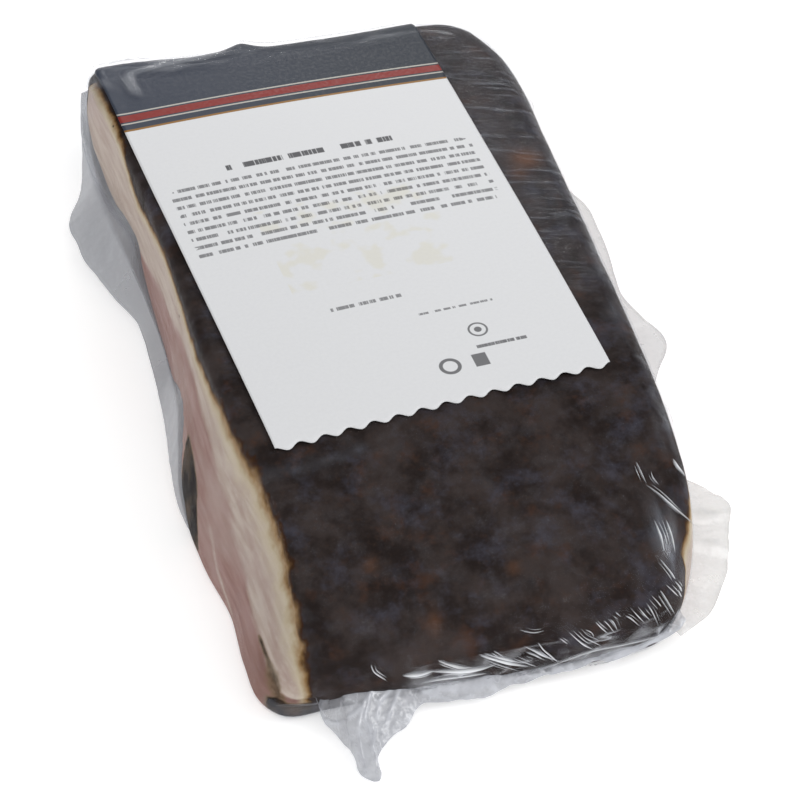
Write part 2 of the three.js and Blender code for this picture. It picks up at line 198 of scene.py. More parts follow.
def slab_grid(share, foot_steps, wall_steps, edge_steps, top_shares):
    """Points of the slab from its foot to its top: an array of levels by round samples.

    Also the level of the wall's top and each level's kind: 0 foot, 1 wall, 2 edge, 3 top.
    """
    top, foot, inward, radius = sample_outline(share)
    even = np.empty_like(inward)
    for start in range(0, len(top), 200):
        part = slice(start, start + 200)
        gap = np.linalg.norm(top[part, None] - FINE[0][None], axis=2) / CORNER_REACH
        even[part] = np.exp(-gap ** 2) @ FINE[2]
    inward = unit(even)
    levels, kinds = [], []

    def level(xy, z, kind):
        levels.append(np.column_stack([xy, np.broadcast_to(z, len(xy))]))
        kinds.append(kind)

    for angle in np.linspace(0, math.pi / 2, foot_steps + 1):
        level(foot + inward * FOOT_RADIUS * (1 - math.sin(angle)), FOOT_RADIUS * (1 - math.cos(angle)), 0)
    edge_start = slab_height(top[:, 0], top[:, 1])
    for share_up in np.arange(1, wall_steps + 1) / (wall_steps + 1):
        ease = 0.5 * share_up + 0.5 * share_up ** 2 * (3 - 2 * share_up)
        xy = foot * (1 - ease) + top * ease - inward * WALL_BULGE * math.sin(math.pi * share_up)
        level(xy, FOOT_RADIUS * (1 - share_up) + edge_start * share_up, 1)
    wall_top = len(levels)
    for angle in np.linspace(0, math.pi / 2, edge_steps + 1):
        xy = top + inward * (radius * (1 - math.cos(angle)))[:, None]
        level(xy, slab_height(xy[:, 0], xy[:, 1]), 2)
    rim = top + inward * radius[:, None]
    back = np.clip((rim[:, 1] - 5) / 220, 0, 1)
    middle = np.column_stack([np.full(len(rim), float(MIDDLE_X)), MIDDLE_FRONT + (MIDDLE_BACK - MIDDLE_FRONT) * back])
    for share_out in top_shares:
        xy = middle + (rim - middle) * share_out
        level(xy, slab_height(xy[:, 0], xy[:, 1]), 3)
    return np.array(levels), wall_top, np.array(kinds)


def grid_normals(points, closed=True):
    """Outward normals of a grid of levels by round samples."""
    up = np.gradient(points, axis=0)
    if closed:
        around = (np.roll(points, -1, axis=1) - np.roll(points, 1, axis=1)) / 2
    else:
        around = np.gradient(points, axis=1)
    return unit(np.cross(around, up))


def run_up(grid):
    """Length along each column of a grid, from its first level."""
    steps = np.linalg.norm(np.diff(grid, axis=0), axis=2)
    return np.concatenate([np.zeros((1, grid.shape[1])), np.cumsum(steps, axis=0)])


def run_along(line):
    """Length along a line of points, from its first."""
    return np.concatenate([[0], np.cumsum(np.linalg.norm(np.diff(line, axis=0), axis=1))])


class Lattice:
    """Seeded smooth noise from -1 to 1."""

    SIZE = 64

    def __init__(self, seed):
        self.table = np.random.default_rng(seed).uniform(-1, 1, (self.SIZE,) * 3)

    def at(self, points, cell):
        """cell is the noise's cell in millimetres, one number or one for each axis."""
        place = np.asarray(points, float) / np.asarray(cell, float)
        low = np.floor(place).astype(int)
        t = place - low
        t = t * t * (3 - 2 * t)
        total = 0
        for corner in np.ndindex(2, 2, 2):
            index = [(low[..., k] + corner[k]) % self.SIZE for k in range(3)]
            weight = np.prod([t[..., k] if corner[k] else 1 - t[..., k] for k in range(3)], axis=0)
            total = total + weight * self.table[index[0], index[1], index[2]]
        return total

    def fractal(self, points, cell, octaves=3):
        points, cell = np.asarray(points, float), np.asarray(cell, float)
        total, scale = 0, 1.0
        for _ in range(octaves):
            total = total + scale * self.at(points + 37.3 * (1 - scale), cell * scale)
            scale /= 2
        return total / 1.6


# ---- mesh helpers
def mesh_object(name, points, faces, material, attributes=None, uv=None, node="bag"):
    """A piece from slab-frame points and faces, in place of the CAD node. uv holds one pair for each point."""
    mesh = bpy.data.meshes.new(name)
    mesh.from_pydata(to_row(points).tolist(), [], [list(map(int, f)) for f in faces])
    mesh.validate()
    for key, values in (attributes or {}).items():
        layer = mesh.attributes.new(key, "FLOAT", "POINT")
        layer.data.foreach_set("value", np.asarray(values, np.float32).ravel())
    if uv is not None:
        layer = mesh.uv_layers.new(name="print")
        corner = np.empty(len(mesh.loops), int)
        mesh.loops.foreach_get("vertex_index", corner)
        layer.data.foreach_set("uv", np.asarray(uv, np.float32)[corner].ravel())
    mesh.polygons.foreach_set("use_smooth", [True] * len(mesh.polygons))
    mesh.materials.append(material)
    mesh.update()
    piece = linked(name, mesh)
    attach(piece, "root")
    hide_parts(node)


def linked(name, data):
    """A new object with the data, in the scene."""
    piece = bpy.data.objects.new(name, data)
    bpy.context.scene.collection.objects.link(piece)
    return piece


def with_ends(values):
    """Values of a closed grid's points and of its two middle points."""
    return np.concatenate([values.ravel(), [values[0].mean(), values[-1].mean()]])


def strips(index, after):
    """Four-sided faces between neighbouring rows of index, where after is the next place in each row."""
    return np.stack([index[:-1], after[:-1], after[1:], index[1:]], -1).reshape(-1, 4).tolist()


def closed_grid(grid):
    """Points and faces of a grid of levels by round samples, closed at both ends round a middle point."""
    levels, count = grid.shape[:2]
    index = np.arange(levels * count).reshape(levels, count)
    after = np.roll(index, -1, axis=1)
    low, high = levels * count, levels * count + 1
    caps = [(low, int(b), int(a)) for a, b in zip(index[0], after[0])]
    caps += [(high, int(a), int(b)) for a, b in zip(index[-1], after[-1])]
    return np.vstack([grid.reshape(-1, 3), grid[0].mean(0), grid[-1].mean(0)]), strips(index, after) + caps


def open_grid(grid):
    rows, columns = grid.shape[:2]
    index = np.arange(rows * columns).reshape(rows, columns)
    return grid.reshape(-1, 3), strips(index[:, :-1], index[:, 1:])


def plate_grid(lower, upper):
    """A closed thin plate between two grids of the same shape."""
    shift = lower[..., 0].size
    index = np.arange(shift).reshape(lower.shape[:2])
    faces = strips(shift + index[:, :-1], shift + index[:, 1:])
    faces += np.stack([index[:-1, :-1], index[1:, :-1], index[1:, 1:], index[:-1, 1:]], -1).reshape(-1, 4).tolist()
    rim = np.concatenate([index[0, :-1], index[:-1, -1], index[-1, :0:-1], index[:0:-1, 0]])
    after = np.roll(rim, -1)
    faces += np.stack([rim, after, after + shift, rim + shift], -1).tolist()
    return np.vstack([lower.reshape(-1, 3), upper.reshape(-1, 3)]), faces


# ---- node helpers
class Nodes:
    """Short calls to build the node tree of a material or of a world."""

    def __init__(self, name, family="Material"):
        self.owner = (bpy.data.materials if family == "Material" else bpy.data.worlds).new(name)
        self.owner.use_nodes = True
        self.tree, self.family = self.owner.node_tree, family
        self.tree.nodes.clear()

    def node(self, kind, output, inputs=None, **settings):
        """One output of a new node, whose inputs are set or linked by name or number."""
        node = self.tree.nodes.new("ShaderNode" + kind)
        for key, value in settings.items():
            setattr(node, key, value)
        for key, value in (inputs or {}).items():
            self.put(node.inputs[key], value)
        return node.outputs[output]

    def put(self, socket, value):
        if isinstance(value, bpy.types.NodeSocket):
            self.tree.links.new(value, socket)
            return
        if isinstance(value, str):
            value = linear(value)
        if socket.type == "RGBA" and len(value) == 3:
            value = (*value, 1)
        socket.default_value = value

    def math(self, operation, *values, clamp=False):
        return self.node("Math", 0, dict(enumerate(values)), operation=operation, use_clamp=clamp)

    def mul(self, *values):
        return self.math("MULTIPLY", *values)

    def add(self, *values, clamp=False):
        return self.math("ADD", *values, clamp=clamp)

    def sub(self, *values):
        return self.math("SUBTRACT", *values)

    def remap(self, value, low, high, to_low=0.0, to_high=1.0, steps="SMOOTHSTEP"):
        limits = {"Value": value, "From Min": low, "From Max": high, "To Min": to_low, "To Max": to_high}
        return self.node("MapRange", "Result", limits, interpolation_type=steps)

    def mix(self, factor, a, b):
        return self.node("Mix", 2, {0: factor, 6: a, 7: b}, data_type="RGBA")

    def attribute(self, name):
        return self.node("Attribute", "Fac", attribute_name=name, attribute_type="GEOMETRY")

    def coordinates(self, scale=(1, 1, 1), offset=(0, 0, 0), turn=0.0, kind="POINT"):
        """Object coordinates. With the kind TEXTURE, noise is drawn out by scale along axes turned about Z."""
        place = {"Vector": self.node("TexCoord", "Object"), "Scale": scale, "Location": offset}
        return self.node("Mapping", "Vector", {**place, "Rotation": (0, 0, turn)}, vector_type=kind)

    def noise(self, vector, scale, detail=4.0, roughness=0.55):
        inputs = {"Vector": vector, "Scale": scale, "Detail": detail, "Roughness": roughness}
        return self.node("TexNoise", "Fac", inputs)

    def bump(self, height, strength, distance):
        return self.node("Bump", "Normal", {"Height": height, "Strength": strength, "Distance": distance})

    def principled(self, **inputs):
        return self.node("BsdfPrincipled", 0, {key.replace("_", " "): value for key, value in inputs.items()})

    def finish(self, shader):
        output = self.tree.nodes.new("ShaderNodeOutput" + self.family)
        self.tree.links.new(shader, output.inputs["Surface"])
        return self.owner


def linear(text):
    """A linear colour from an sRGB hex text."""
    values = [int(text[i:i + 2], 16) / 255 for i in (0, 2, 4)]
    return tuple(v / 12.92 if v <= 0.04045 else ((v + 0.055) / 1.055) ** 2.4 for v in values)


# ---- the pork
ROWS = len(OUTLINE)  # places round the outline are given as outline rows, from 0 to ROWS


# How far up the rounded edge the dark surface ends, in millimetres: by y on the left, by outline row on the right.
LEFT_EDGE = table("""
-6 3.3, 3 4.6, 10 3.8, 24 3.2, 33 2.4, 41 2.5, 51 3, 60 2.4, 69 2.2, 81 0.6, 92 -0.6, 104 -1.2, 135 0,
145 0.6, 158 -1.2, 171 -3.6, 183 0, 191 3.4, 202 5, 212 6
""")
RIGHT_EDGE = table("""
5.4 -3, 5.6 3, 6 7, 6.5 8, 7.2 5.9, 7.6 4.3, 8 2.6, 8.6 1, 16 1
""")


def dark_depth(points, below, place):
    """Signed distance from the edge of the dark surface down the cut side: below zero it is dark.

    The two long sides are cut faces. The dark surface runs over their top edge, and down the natural ends.
    """
    left = smooth(22.0, 22.6, place) + smooth(1.2, 0.8, place)
    right = smooth(5.5, 6.3, place) * (1 - smooth(15.2, 16.0, place))
    x, y, z = points[..., 0], points[..., 1], points[..., 2]
    over = np.where(x < 60, np.interp(y, *LEFT_EDGE.T), np.interp(place, *RIGHT_EDGE.T))
    depth = below - 60 + (60 + over) * np.clip(left + right, 0, 1)
    # the burnt band is narrower on the right, towards the back and low at the front corner
    narrow = np.where(right > left, 2.6, 1 + 1.6 * smooth(45, 115, y) + 1.6 * smooth(20, 8, z) * smooth(12, 0, y))
    depth = np.where(depth > 0, depth * narrow, depth)
    corner = (1.5 * (CORNER_LINE - x) + 14 * smooth(-3.5, 7, y)) * (1 + 1.2 * smooth(24, 12, z))
    return np.where(x < 60, np.minimum(depth, corner), depth)


def pork_material():
    n = Nodes("smoked_pork")
    # The smoked top: near black brown, cloudy, with rusty patches. Its colour is a little lighter than the bare rind,
    # for a painted sheen of the film over it, and the bluish grey patches are the film's haze with the same painted
    # sheen.
    cloud = n.noise(n.coordinates(), 75, 6, 0.62)
    rust = n.noise(n.coordinates(offset=(0.3, 0.1, 0)), 115, 6, 0.64)
    haze_and_sheen = n.noise(n.coordinates(offset=(0.9, 0.4, 0)), 100, 6, 0.66)
    fine = n.noise(n.coordinates(offset=(0.7, 0.2, 0)), 520, 3, 0.6)
    dark = n.mix(n.remap(cloud, 0.36, 0.66), "261f1d", "3f3735")
    for patches, low, high, cover, colour in (
        (rust, 0.52, 0.74, 0.55, "4f3527"), (haze_and_sheen, 0.47, 0.74, 0.54, "4e4e5a"), (fine, 0.52, 0.78, 0.35, "43332a"),
    ):
        dark = n.mix(n.remap(patches, low, high, 0, cover), dark, colour)
    dark = n.mix(n.attribute("warm"), dark, "6e4628")
    # The cut sides: fat and lean in layers, by attributes that the mesh carries.
    depth, lean = n.attribute("depth"), n.attribute("lean")
    grain = n.noise(n.coordinates(scale=(1, 0.09, 1)), 480, 3, 0.5)
    wobble = n.noise(n.coordinates(scale=(1, 0.8, 1)), 420, 5, 0.65)
    hairs = n.noise(n.coordinates(offset=(0.3, 0.6, 0), scale=(0.4, 1, 0.4)), 900, 4, 0.65)
    blobs = n.noise(n.coordinates(offset=(0.1, 0.9, 0)), 170, 4, 0.6)
    soft_cloud = n.noise(n.coordinates(offset=(0.2, 0.7, 0.1), scale=(1, 0.35, 1)), 70, 3, 0.5)
    # Fat and lean in their own colours, set somewhat darker than real fat and lean as painted shade of the cut sides.
    fat = n.mix(n.remap(grain, 0.35, 0.68), "b3a297", "c2b5aa")
    fat = n.mix(n.remap(soft_cloud, 0.45, 0.75, 0, 0.6), fat, "b09c95")
    meat = n.mix(n.remap(grain, 0.33, 0.7), "92726a", "a2857f")
    meat = n.mix(n.remap(soft_cloud, 0.45, 0.72, 0, 0.7), meat, "b3a098")
    meat = n.mix(n.attribute("deep"), meat, "7d5d53")
    soft = n.add(lean, n.mul(n.sub(wobble, 0.5), 0.5))
    cut = n.mix(n.remap(soft, 0.1, 0.9), fat, meat)
    burr = n.mul(n.sub(hairs, 0.5), 1.6)
    burr = n.add(burr, n.mul(n.sub(blobs, 0.5), 9.0))
    ragged = n.add(depth, burr)
    for start, end, cover, colour in (
        (5.0, 15.0, 0.75, "c9bea0"), (2.4, 9.4, 0.95, "8c6a3d"), (0.6, 4.6, 1, "3a2415"),
    ):
        cut = n.mix(n.remap(ragged, start, end, cover, 0), cut, colour)
    # Darker and browner at the foot of the front left corner, along the groove and in the lens.
    dark_brown_marks = n.add(n.attribute("dark_brown_marks"), n.mul(n.sub(wobble, 0.5), 0.5))
    brown = n.mix(n.remap(n.noise(n.coordinates(offset=(0, 0.3, 0)), 130, 3, 0.5), 0.4, 0.62), "1d1613", "4c3e31")
    cut = n.mix(n.remap(dark_brown_marks, 0.25, 0.5, 0, 0.75), cut, "7d6a52")
    cut = n.mix(n.remap(dark_brown_marks, 0.4, 0.8), cut, brown)
    specks = n.node("TexVoronoi", "Distance", {"Vector": n.coordinates(scale=(1, 0.8, 1)), "Scale": 190})
    speck_on = n.math("GREATER_THAN", n.noise(n.coordinates(offset=(0.5, 0.5, 0)), 80, 2, 0.5), 0.56)
    specks = n.mul(n.remap(specks, 0.04, 0.11, 0.85, 0), speck_on)
    cut = n.mix(specks, cut, "453629")
    edge = n.remap(ragged, -0.3, 0.8, 1, 0)
    colour = n.mix(edge, cut, dark)
    relief = n.add(n.mul(fine, 0.35), n.noise(n.coordinates(offset=(1.7, 0, 0)), 150, 4, 0.6))
    skin = n.principled(
        Base_Color=colour,
        Roughness=n.remap(fine, 0.3, 0.7, 0.34, 0.5),
        Normal=n.bump(relief, 0.4, 0.0007),
        Specular_IOR_Level=0.03,
    )
    return n.finish(skin)


STREAK_TURN = math.radians(-14.5)  # fine streaks of the shrunken film lie slantwise over the slab


def film_material(name, clear_tint, cover_colour, cover, veil, roughness=0.16, crumple=0.0, rim=0.3):
    """Clear film: see-through by a tint, with a thin pale cover that shallow angles make denser. A mesh attribute
    raises the cover for milky haze and for painted highlights on creases and folds.
    """
    n = Nodes(name)
    patch = n.noise(n.coordinates(), 210, 4, 0.6)
    facing = n.node("LayerWeight", "Facing", {"Blend": 0.3})
    streaks = n.noise(n.coordinates((11, 1, 1), turn=STREAK_TURN, kind="TEXTURE"), 520, 4, 0.55)
    waves = n.noise(n.coordinates(offset=(0.4, 0, 0)), 170, 3, 0.5)
    fine = n.noise(n.coordinates(offset=(0.1, 0.4, 0)), 700, 2, 0.5)
    streaky = n.attribute("streak")
    height = n.add(n.add(n.mul(streaks, streaky), n.mul(waves, crumple)), n.mul(fine, 0.02))
    factor = n.add(n.remap(patch, 0.45, 0.75, 0, veil), cover)
    factor = n.add(factor, n.mul(n.math("POWER", facing, 2.0), rim))
    # Painted highlights along the fine streaks, where the streak attribute is set.
    factor = n.add(factor, n.mul(n.remap(streaks, 0.5, 0.72, 0, 0.22), streaky))
    factor = n.add(factor, n.attribute("haze_and_highlight"), clamp=True)
    pale = n.mix(n.remap(patch, 0.35, 0.7, 0, 0.35 if crumple > 0.1 else 0.1), cover_colour, "dfe2e8")
    gloss = n.principled(
        Base_Color=pale, Roughness=roughness, Normal=n.bump(height, 0.8, 0.0012), Specular_IOR_Level=0.9,
    )
    clear = n.node("BsdfTransparent", 0, {"Color": clear_tint})
    return n.finish(n.node("MixShader", 0, {0: factor, 1: clear, 2: gloss}))


def round_shares(count, density=None):
    """Shares round the outline, evenly spaced by length, or denser where density says so."""
    fine_share = np.linspace(0, 1, 4201)
    curve = closed_curve(OUTLINE[:, :2], fine_share % 1)
    step = np.linalg.norm(np.diff(curve, axis=0), axis=1)
    middle = (fine_share[1:] + fine_share[:-1]) / 2
    if density is not None:
        step = step * density(middle * ROWS)
    run = np.concatenate([[0], np.cumsum(step)])
    return np.interp(np.arange(count) / count * run[-1], run, fine_share)


PORK_NOISE = Lattice(11)
GROOVE = table("""
16 15.4, 14.6 15.3, 9.8 14.7, 3.7 14.2, -1 12.3, -3.5 9
""")  # y, z, left side
CORNER_LINE = 12.6  # x of the dark surface's edge down the front left corner
# A dark lens low on the left side: y, share of the wall's height where it starts and where it ends.
LENS = table("""
56 0 0, 57 0 0.08, 59.4 0 0.18, 63.7 0 0.28, 66 -0.1 0.33, 68 -0.1 0.38, 72.5 -0.05 0.44, 79 0.08 0.47,
84.5 0.26 0.48, 88 0.42 0.47, 89 0.45 0.47
""")
# Warm brown spots on the smoked top: x, y, radius, strength.
WARM_SPOTS = table("119.5 157 4.5 0.9, 115 150 3 0.45, 34.5 14.5 1.8 0.4, 48 -3 2 0.4, 72.6 6 1.8 0.35")


def groove_height(y):
    return np.interp(y, GROOVE[::-1, 0], GROOVE[::-1, 1])


def pork_relief(points, on_top):
    """How far the pork stands out or in from the plain slab: soft lumps, more on the smoked top."""
    lumps = PORK_NOISE.fractal(points, 14, 3)
    small = PORK_NOISE.fractal(points + 91.0, 4.5, 2)
    relief = (0.22 + 0.24 * on_top) * lumps + (0.05 + 0.09 * on_top) * small
    # the groove between the lean lobe and the fat, at the front of the left side
    left = (points[..., 0] < 16) & (points[..., 1] < 24)
    near = bump(groove_height(points[..., 1]), 1.6, points[..., 2]) * smooth(17, 6, points[..., 1])
    return relief - 1.1 * near * left


# Layers of the left cut side: y, then the share of the wall's height where the lean ends, the middle,
# half height and strength of a paler pink streak in the fat.
LAYERS = table("""
-8 0.3 0.52 0.1 0.5, 0 0.38 0.58 0.11 0.6, 10 0.43 0.62 0.1 0.6, 22 0.41 0.64 0.1 0.55,
34 0.45 0.63 0.07 0.6, 46 0.53 0.66 0.05 0.5, 58 0.62 0.74 0.03 0.5, 72 0.7 0.82 0.03 0.3,
100 0.76 0.9 0.03 0.3, 120 0.72 0.86 0.04 0.4, 150 0.55 0.8 0.06 0.4, 185 0.35 0.7 0.06 0.35,
235 0.3 0.6 0.06 0.3
""")


def pork():
    share = round_shares(520)
    top_shares = np.linspace(1, 0.03, 40)[1:]
    grid, wall_top, kinds = slab_grid(share, 4, 44, 8, top_shares)
    normal = grid_normals(grid)
    place = np.broadcast_to(share * ROWS, grid.shape[:2])
    run = run_up(grid)
    below = run[wall_top] - run
    depth = dark_depth(grid, below, place)
    on_top = smooth(2, -6, depth)
    x, y, z = grid[..., 0], grid[..., 1], grid[..., 2]
    rise = (z - FOOT_RADIUS) / np.maximum(z[wall_top] - FOOT_RADIUS, 1)
    flat = np.zeros_like(y)
    wander = PORK_NOISE.fractal(np.stack([flat, y, x * 0.05], -1) + 5, 22, 3) * 0.05
    lean_top, middle, half, strength = (np.interp(y, LAYERS[:, 0], LAYERS[:, k]) for k in range(1, 5))
    streak = PORK_NOISE.fractal(np.stack([flat, y * 0.07, z + x * 0.5], -1) + 17, 1.7, 2)
    side = rise + wander
    lean = smooth(0.08, -0.08, side - lean_top + 0.035 * streak)
    lean = lean + 0.65 * strength * bump(0, 1, (side - middle) / half)
    lean = lean * (1 - 0.3 * smooth(0.2, 0.8, streak)) + 0.16 * np.maximum(streak, 0)
    fascia = bump(0, 1, (side - (0.05 + 0.3 * smooth(30, 62, y))) / 0.03) * smooth(26, 34, y) * smooth(60, 53, y)
    lean = np.clip(lean - 0.7 * fascia * (x < 40), 0, 1)
    foot = smooth(9.0, 7.0, z) * smooth(1.5, -3.0, y)
    furrow = bump(0, 1, (z - groove_height(y)) / (0.9 + 2.9 * smooth(8, 0, y))) * smooth(17, 12, y) * smooth(-6, -4, y)
    furrow = furrow * (0.75 + 0.25 * smooth(4, 14, y))
    start, end = np.interp(y, LENS[:, 0], LENS[:, 1]), np.interp(y, LENS[:, 0], LENS[:, 2])
    lens = smooth(-0.03, 0.04, rise - start) * smooth(0.03, -0.07, rise - end) * smooth(55, 58, y) * smooth(90, 86, y)
    # Darker and browner at the foot of the front left corner, along the groove and in the lens.
    dark_brown_marks = np.clip(foot + 0.8 * furrow + lens, 0, 1) * (x < 16)
    deep = 0.55 * smooth(26, -2, y) * smooth(0.55, 0.3, rise) * (x < 20)
    warm = sum(bump(0, r, np.hypot(x - a, y - b)) * power for a, b, r, power in WARM_SPOTS) * (kinds >= 2)[:, None]
    grid = grid + normal * pork_relief(grid, on_top)[..., None]
    grid[..., 2] = np.maximum(grid[..., 2], 0.4)
    points, faces = closed_grid(grid)
    mesh_object(
        "pork_slab", points, faces, pork_material(),
        attributes={
            key: with_ends(values)
            for key, values in (("depth", depth), ("lean", lean), ("dark_brown_marks", dark_brown_marks), ("deep", deep), ("warm", warm))
        },
    )


# ---- the film
FILM_NOISE = Lattice(23)
CLEAR = film_material("clear_film", (0.965, 0.967, 0.972), "9aa0ad", 0.003, 0.035, roughness=0.12, rim=0.04)
WRAP = film_material("folded_film", (0.98, 0.98, 0.985), "cfd2d9", 0.0, 0.02, roughness=0.1, crumple=0.15, rim=0.1)
# The left flap's grey film is darkened partly by several plies of film and partly as painted shade of the slab's
# shadow side. The right flap's pale film is partly painted light of its lit side.
GREY_FILM_SHADED = film_material("loose_film_grey_shaded", (0.5, 0.505, 0.52), "a1a4aa", 0.28, 0.03, roughness=0.25, crumple=0.05)
TAIL_FILM = film_material("loose_film_tail", (0.62, 0.625, 0.64), "b8bac1", 0.20, 0.14, roughness=0.18, crumple=0.4)
PALE_FILM = film_material("loose_film_pale", (0.85, 0.85, 0.845), "cfcecb", 0.34, 0.12, roughness=0.2, crumple=0.15)
FIN_FILM = film_material("loose_film_fin", (0.78, 0.78, 0.785), "bfbfc0", 0.30, 0.06, roughness=0.22, crumple=0.06)
# Near white cover for the painted highlights along the crests of the creases.
CREASE = film_material("film_crease", (0.95, 0.95, 0.96), "eceef2", 0.02, 0.06, roughness=0.1, crumple=0.2)


def tip_bump(x, y):
    """A small hump on the back edge, from 0 to 1."""
    return np.exp(-np.hypot((x - 46.6) / 5.5, (y - 231) / 4) ** 1.6)


def film_offset(points, on_top):
    base = 0.35 + np.maximum(pork_relief(points, on_top), 0)
    x, y, z = points[..., 0], points[..., 1], points[..., 2]
    wave = FILM_NOISE.fractal(points * [0.3, 1, 1], 4.5, 2)
    edge = smooth(98, 122, x) * smooth(40, 90, y) + smooth(215, 232, y)
    base = base + 0.3 * np.maximum(wave, 0) * np.clip(edge, 0, 1)
    side = FILM_NOISE.fractal(points * [1, 0.4, 1] + 70, 6, 2)
    base = base + 0.35 * np.maximum(side, 0) * smooth(135, 175, y) * (x < 20)
    # the film stands off the left side near the back
    stand = smooth(150, 200, y) * smooth(236, 222, y) * (x < 20) * np.sin(np.clip(z / 40, 0, 1) * math.pi)
    return base + 2.0 * stand


# The edge of the whitish loose film over the left side's low part: y, share of the wall's height.
VEIL = table("""
95 0, 140 0.02, 160 0.25, 168 0.5, 184 0.47, 193 0.42, 206 0.5, 225 0.6
""")


# Painted glare on the film, soft and pale: x, y, half width, half length, strength.
GLARE = table("""
126.2 153 2 5 0.2, 128.5 125 1.2 5 0.24, 126.4 104 2.2 8 0.22, 124.6 79 2.6 9 0.2, 126.4 36 0.9 9 0.26,
123.2 38 0.8 8 0.18, 116 9 3.4 6.5 0.4, 117.5 3 2.6 3.5 0.42
""")
SOFT_CREASE = [(10, 47, 44), (16.8, 46, 44), (22.5, 45.4, 44), (29.6, 46.1, 44), (40, 48, 44)]


def film_skin():
    share = round_shares(620, lambda place: 1 + 0.8 * ((place < 8) | (place > 33)))
    top_shares = np.concatenate([np.linspace(1, 0.75, 28)[1:], np.linspace(0.75, 0.03, 34)[1:]])
    grid, wall_top, kinds = slab_grid(share, 4, 30, 10, top_shares)
    normal = grid_normals(grid)
    on_top = smooth(wall_top - 4, wall_top + 9, np.arange(len(kinds)))[:, None] * np.ones(len(share))
    offset = film_offset(grid, on_top)
    x, y, z = grid[..., 0], grid[..., 1], grid[..., 2]
    rise = (z - FOOT_RADIUS) / np.maximum(z[wall_top] - FOOT_RADIUS, 1)
    streak = np.clip(smooth(85, 115, x) * smooth(70, 150, y) + smooth(205, 222, y), 0, 1) * on_top
    veil = smooth(0.12, -0.1, rise - np.interp(y, VEIL[:, 0], VEIL[:, 1])) * (x < 20) * smooth(92, 104, y)
    near = bump(0, 2.0, line_distance(grid, SOFT_CREASE)) * on_top
    strokes = 0.55 + 1.0 * FILM_NOISE.fractal(grid * [1, 0.12, 0.3] + 30, 2.0, 2)
    glare = sum(power * bump(0, a, x - u) * bump(0, b, y - v) for u, v, a, b, power in GLARE)
    # Milky film over the veil, and painted highlights: on the soft crease, as glare, at the foot of the front left
    # corner and along the streaks.
    haze_and_highlight = 0.35 * veil + 0.06 * near + glare * np.clip(strokes, 0, 1.2) * smooth(12, 20, z)
    haze_and_highlight = haze_and_highlight + 0.12 * smooth(9, 7, z) * smooth(1.5, -3, y) * (x < 16) + 0.07 * streak
    offset = offset + 0.35 * near + 2.4 * tip_bump(x, y)
    grid = grid + normal * offset[..., None]
    grid[..., 2] = np.maximum(grid[..., 2], 0.0)
    points, faces = closed_grid(grid)
    mesh_object(
        "film_skin", points, faces, CLEAR,
        attributes={"haze_and_highlight": with_ends(haze_and_highlight), "streak": with_ends(streak)},
    )


def line_distance(points, path):
    """Distance in plan from each point to a line through the path's points."""
    path = np.asarray(path, float)[:, :2]
    length = run_along(path)[-1]
    path = open_curve(path, np.linspace(0, 1, int(length / 0.3) + 2))
    flat = points[..., :2].reshape(-1, 2)
    best = np.full(len(flat), 1e9)
    for place in path:
        best = np.minimum(best, ((flat - place) ** 2).sum(1))
    return np.sqrt(best).reshape(points.shape[:2])


def flap(name, places, rows, columns, folds, seed, material, slack=1.0, dense=None, veins=0.0, root_highlight=0.0,
         lines=(), crumpled=0.45, crests=0.22, tucked=0.0):
    """A loose sheet of film from a line on the slab's wall (x, y, z) to its free edge (x, y, z).

    Its folds run from the root to the free edge, and a fine crumple lies over them. Sharp creases follow the
    lines: width, height and points. A tucked sheet starts that far inside the left wall.
    """
    noise = Lattice(seed)
    share = even_share(places[:, 3:], rows)
    root, tip = open_curve(places[:, :3], share), open_curve(places[:, 3:], share)
    if tucked:
        wall = slab_grid(np.linspace(21.5, 35.0, 400) / ROWS, 4, 60, 2, [])[0].reshape(-1, 3)
        gap = ((wall[None, :, 1:] - root[:, None, 1:]) ** 2).sum(2)
        root[:, 0] = wall[gap.argmin(1), 0] + tucked
    run = run_along(tip)
    t = np.linspace(0, 1, columns)
    reach = np.linalg.norm(tip - root, axis=1)[:, None] * t
    grid = root[:, None] * (1 - t[None, :, None]) + tip[:, None] * t[None, :, None]
    across = unit(np.cross(tip - root, np.gradient(tip, axis=0)))
    across *= np.sign(across[:, 2:] + 1e-6)
    flat = np.stack([np.broadcast_to(run[:, None], reach.shape), reach * 0.25, reach * 0], -1)
    long_folds = noise.fractal(flat, 4.5, 2)
    crumple = noise.fractal(grid + 50, 3.2, 3)
    fade = np.sin(np.clip(t * 1.15, 0, 1) * math.pi * 0.5)[None]
    out = folds * (0.9 * long_folds + crumpled * crumple) * fade
    grid = grid + across[:, None] * out[..., None]
    grid[..., 2] -= slack * 0.6 * np.sin(math.pi * t)[None]
    grid[..., :2] += noise.fractal(grid + 150, 2.5, 2)[..., None] * 0.4 * crumpled * fade[..., None]
    grid[..., 2] = np.maximum(grid[..., 2], 0.15)
    # Painted highlights on the fold crests and the fine crumple lines that veins adds, along the free edge, at the
    # root and along the creases of lines; dense adds milky film.
    crest = smooth(0.35, 0.75, long_folds) + smooth(0.10, 0.0, np.abs(crumple - 0.1)) * veins
    rim = smooth(0.94, 1.0, np.broadcast_to(t[None], crest.shape)) + root_highlight * smooth(0.08, 0.0, t)[None]
    haze_and_highlight = crests * np.clip(crest, 0, 1) + 0.3 * rim + (0.0 if dense is None else dense(*root[:, :2].T)[:, None])
    for width, height, path in lines:
        near = bump(0, 0.55 * width, line_distance(grid, path))
        haze_and_highlight = haze_and_highlight + 0.55 * near
        grid[..., 2] += 0.5 * height * near
    haze_and_highlight = np.clip(haze_and_highlight, 0, 1)
    points, faces = open_grid(grid)
    mesh_object(name, points, faces, material, attributes={"haze_and_highlight": haze_and_highlight, "streak": haze_and_highlight * 0})


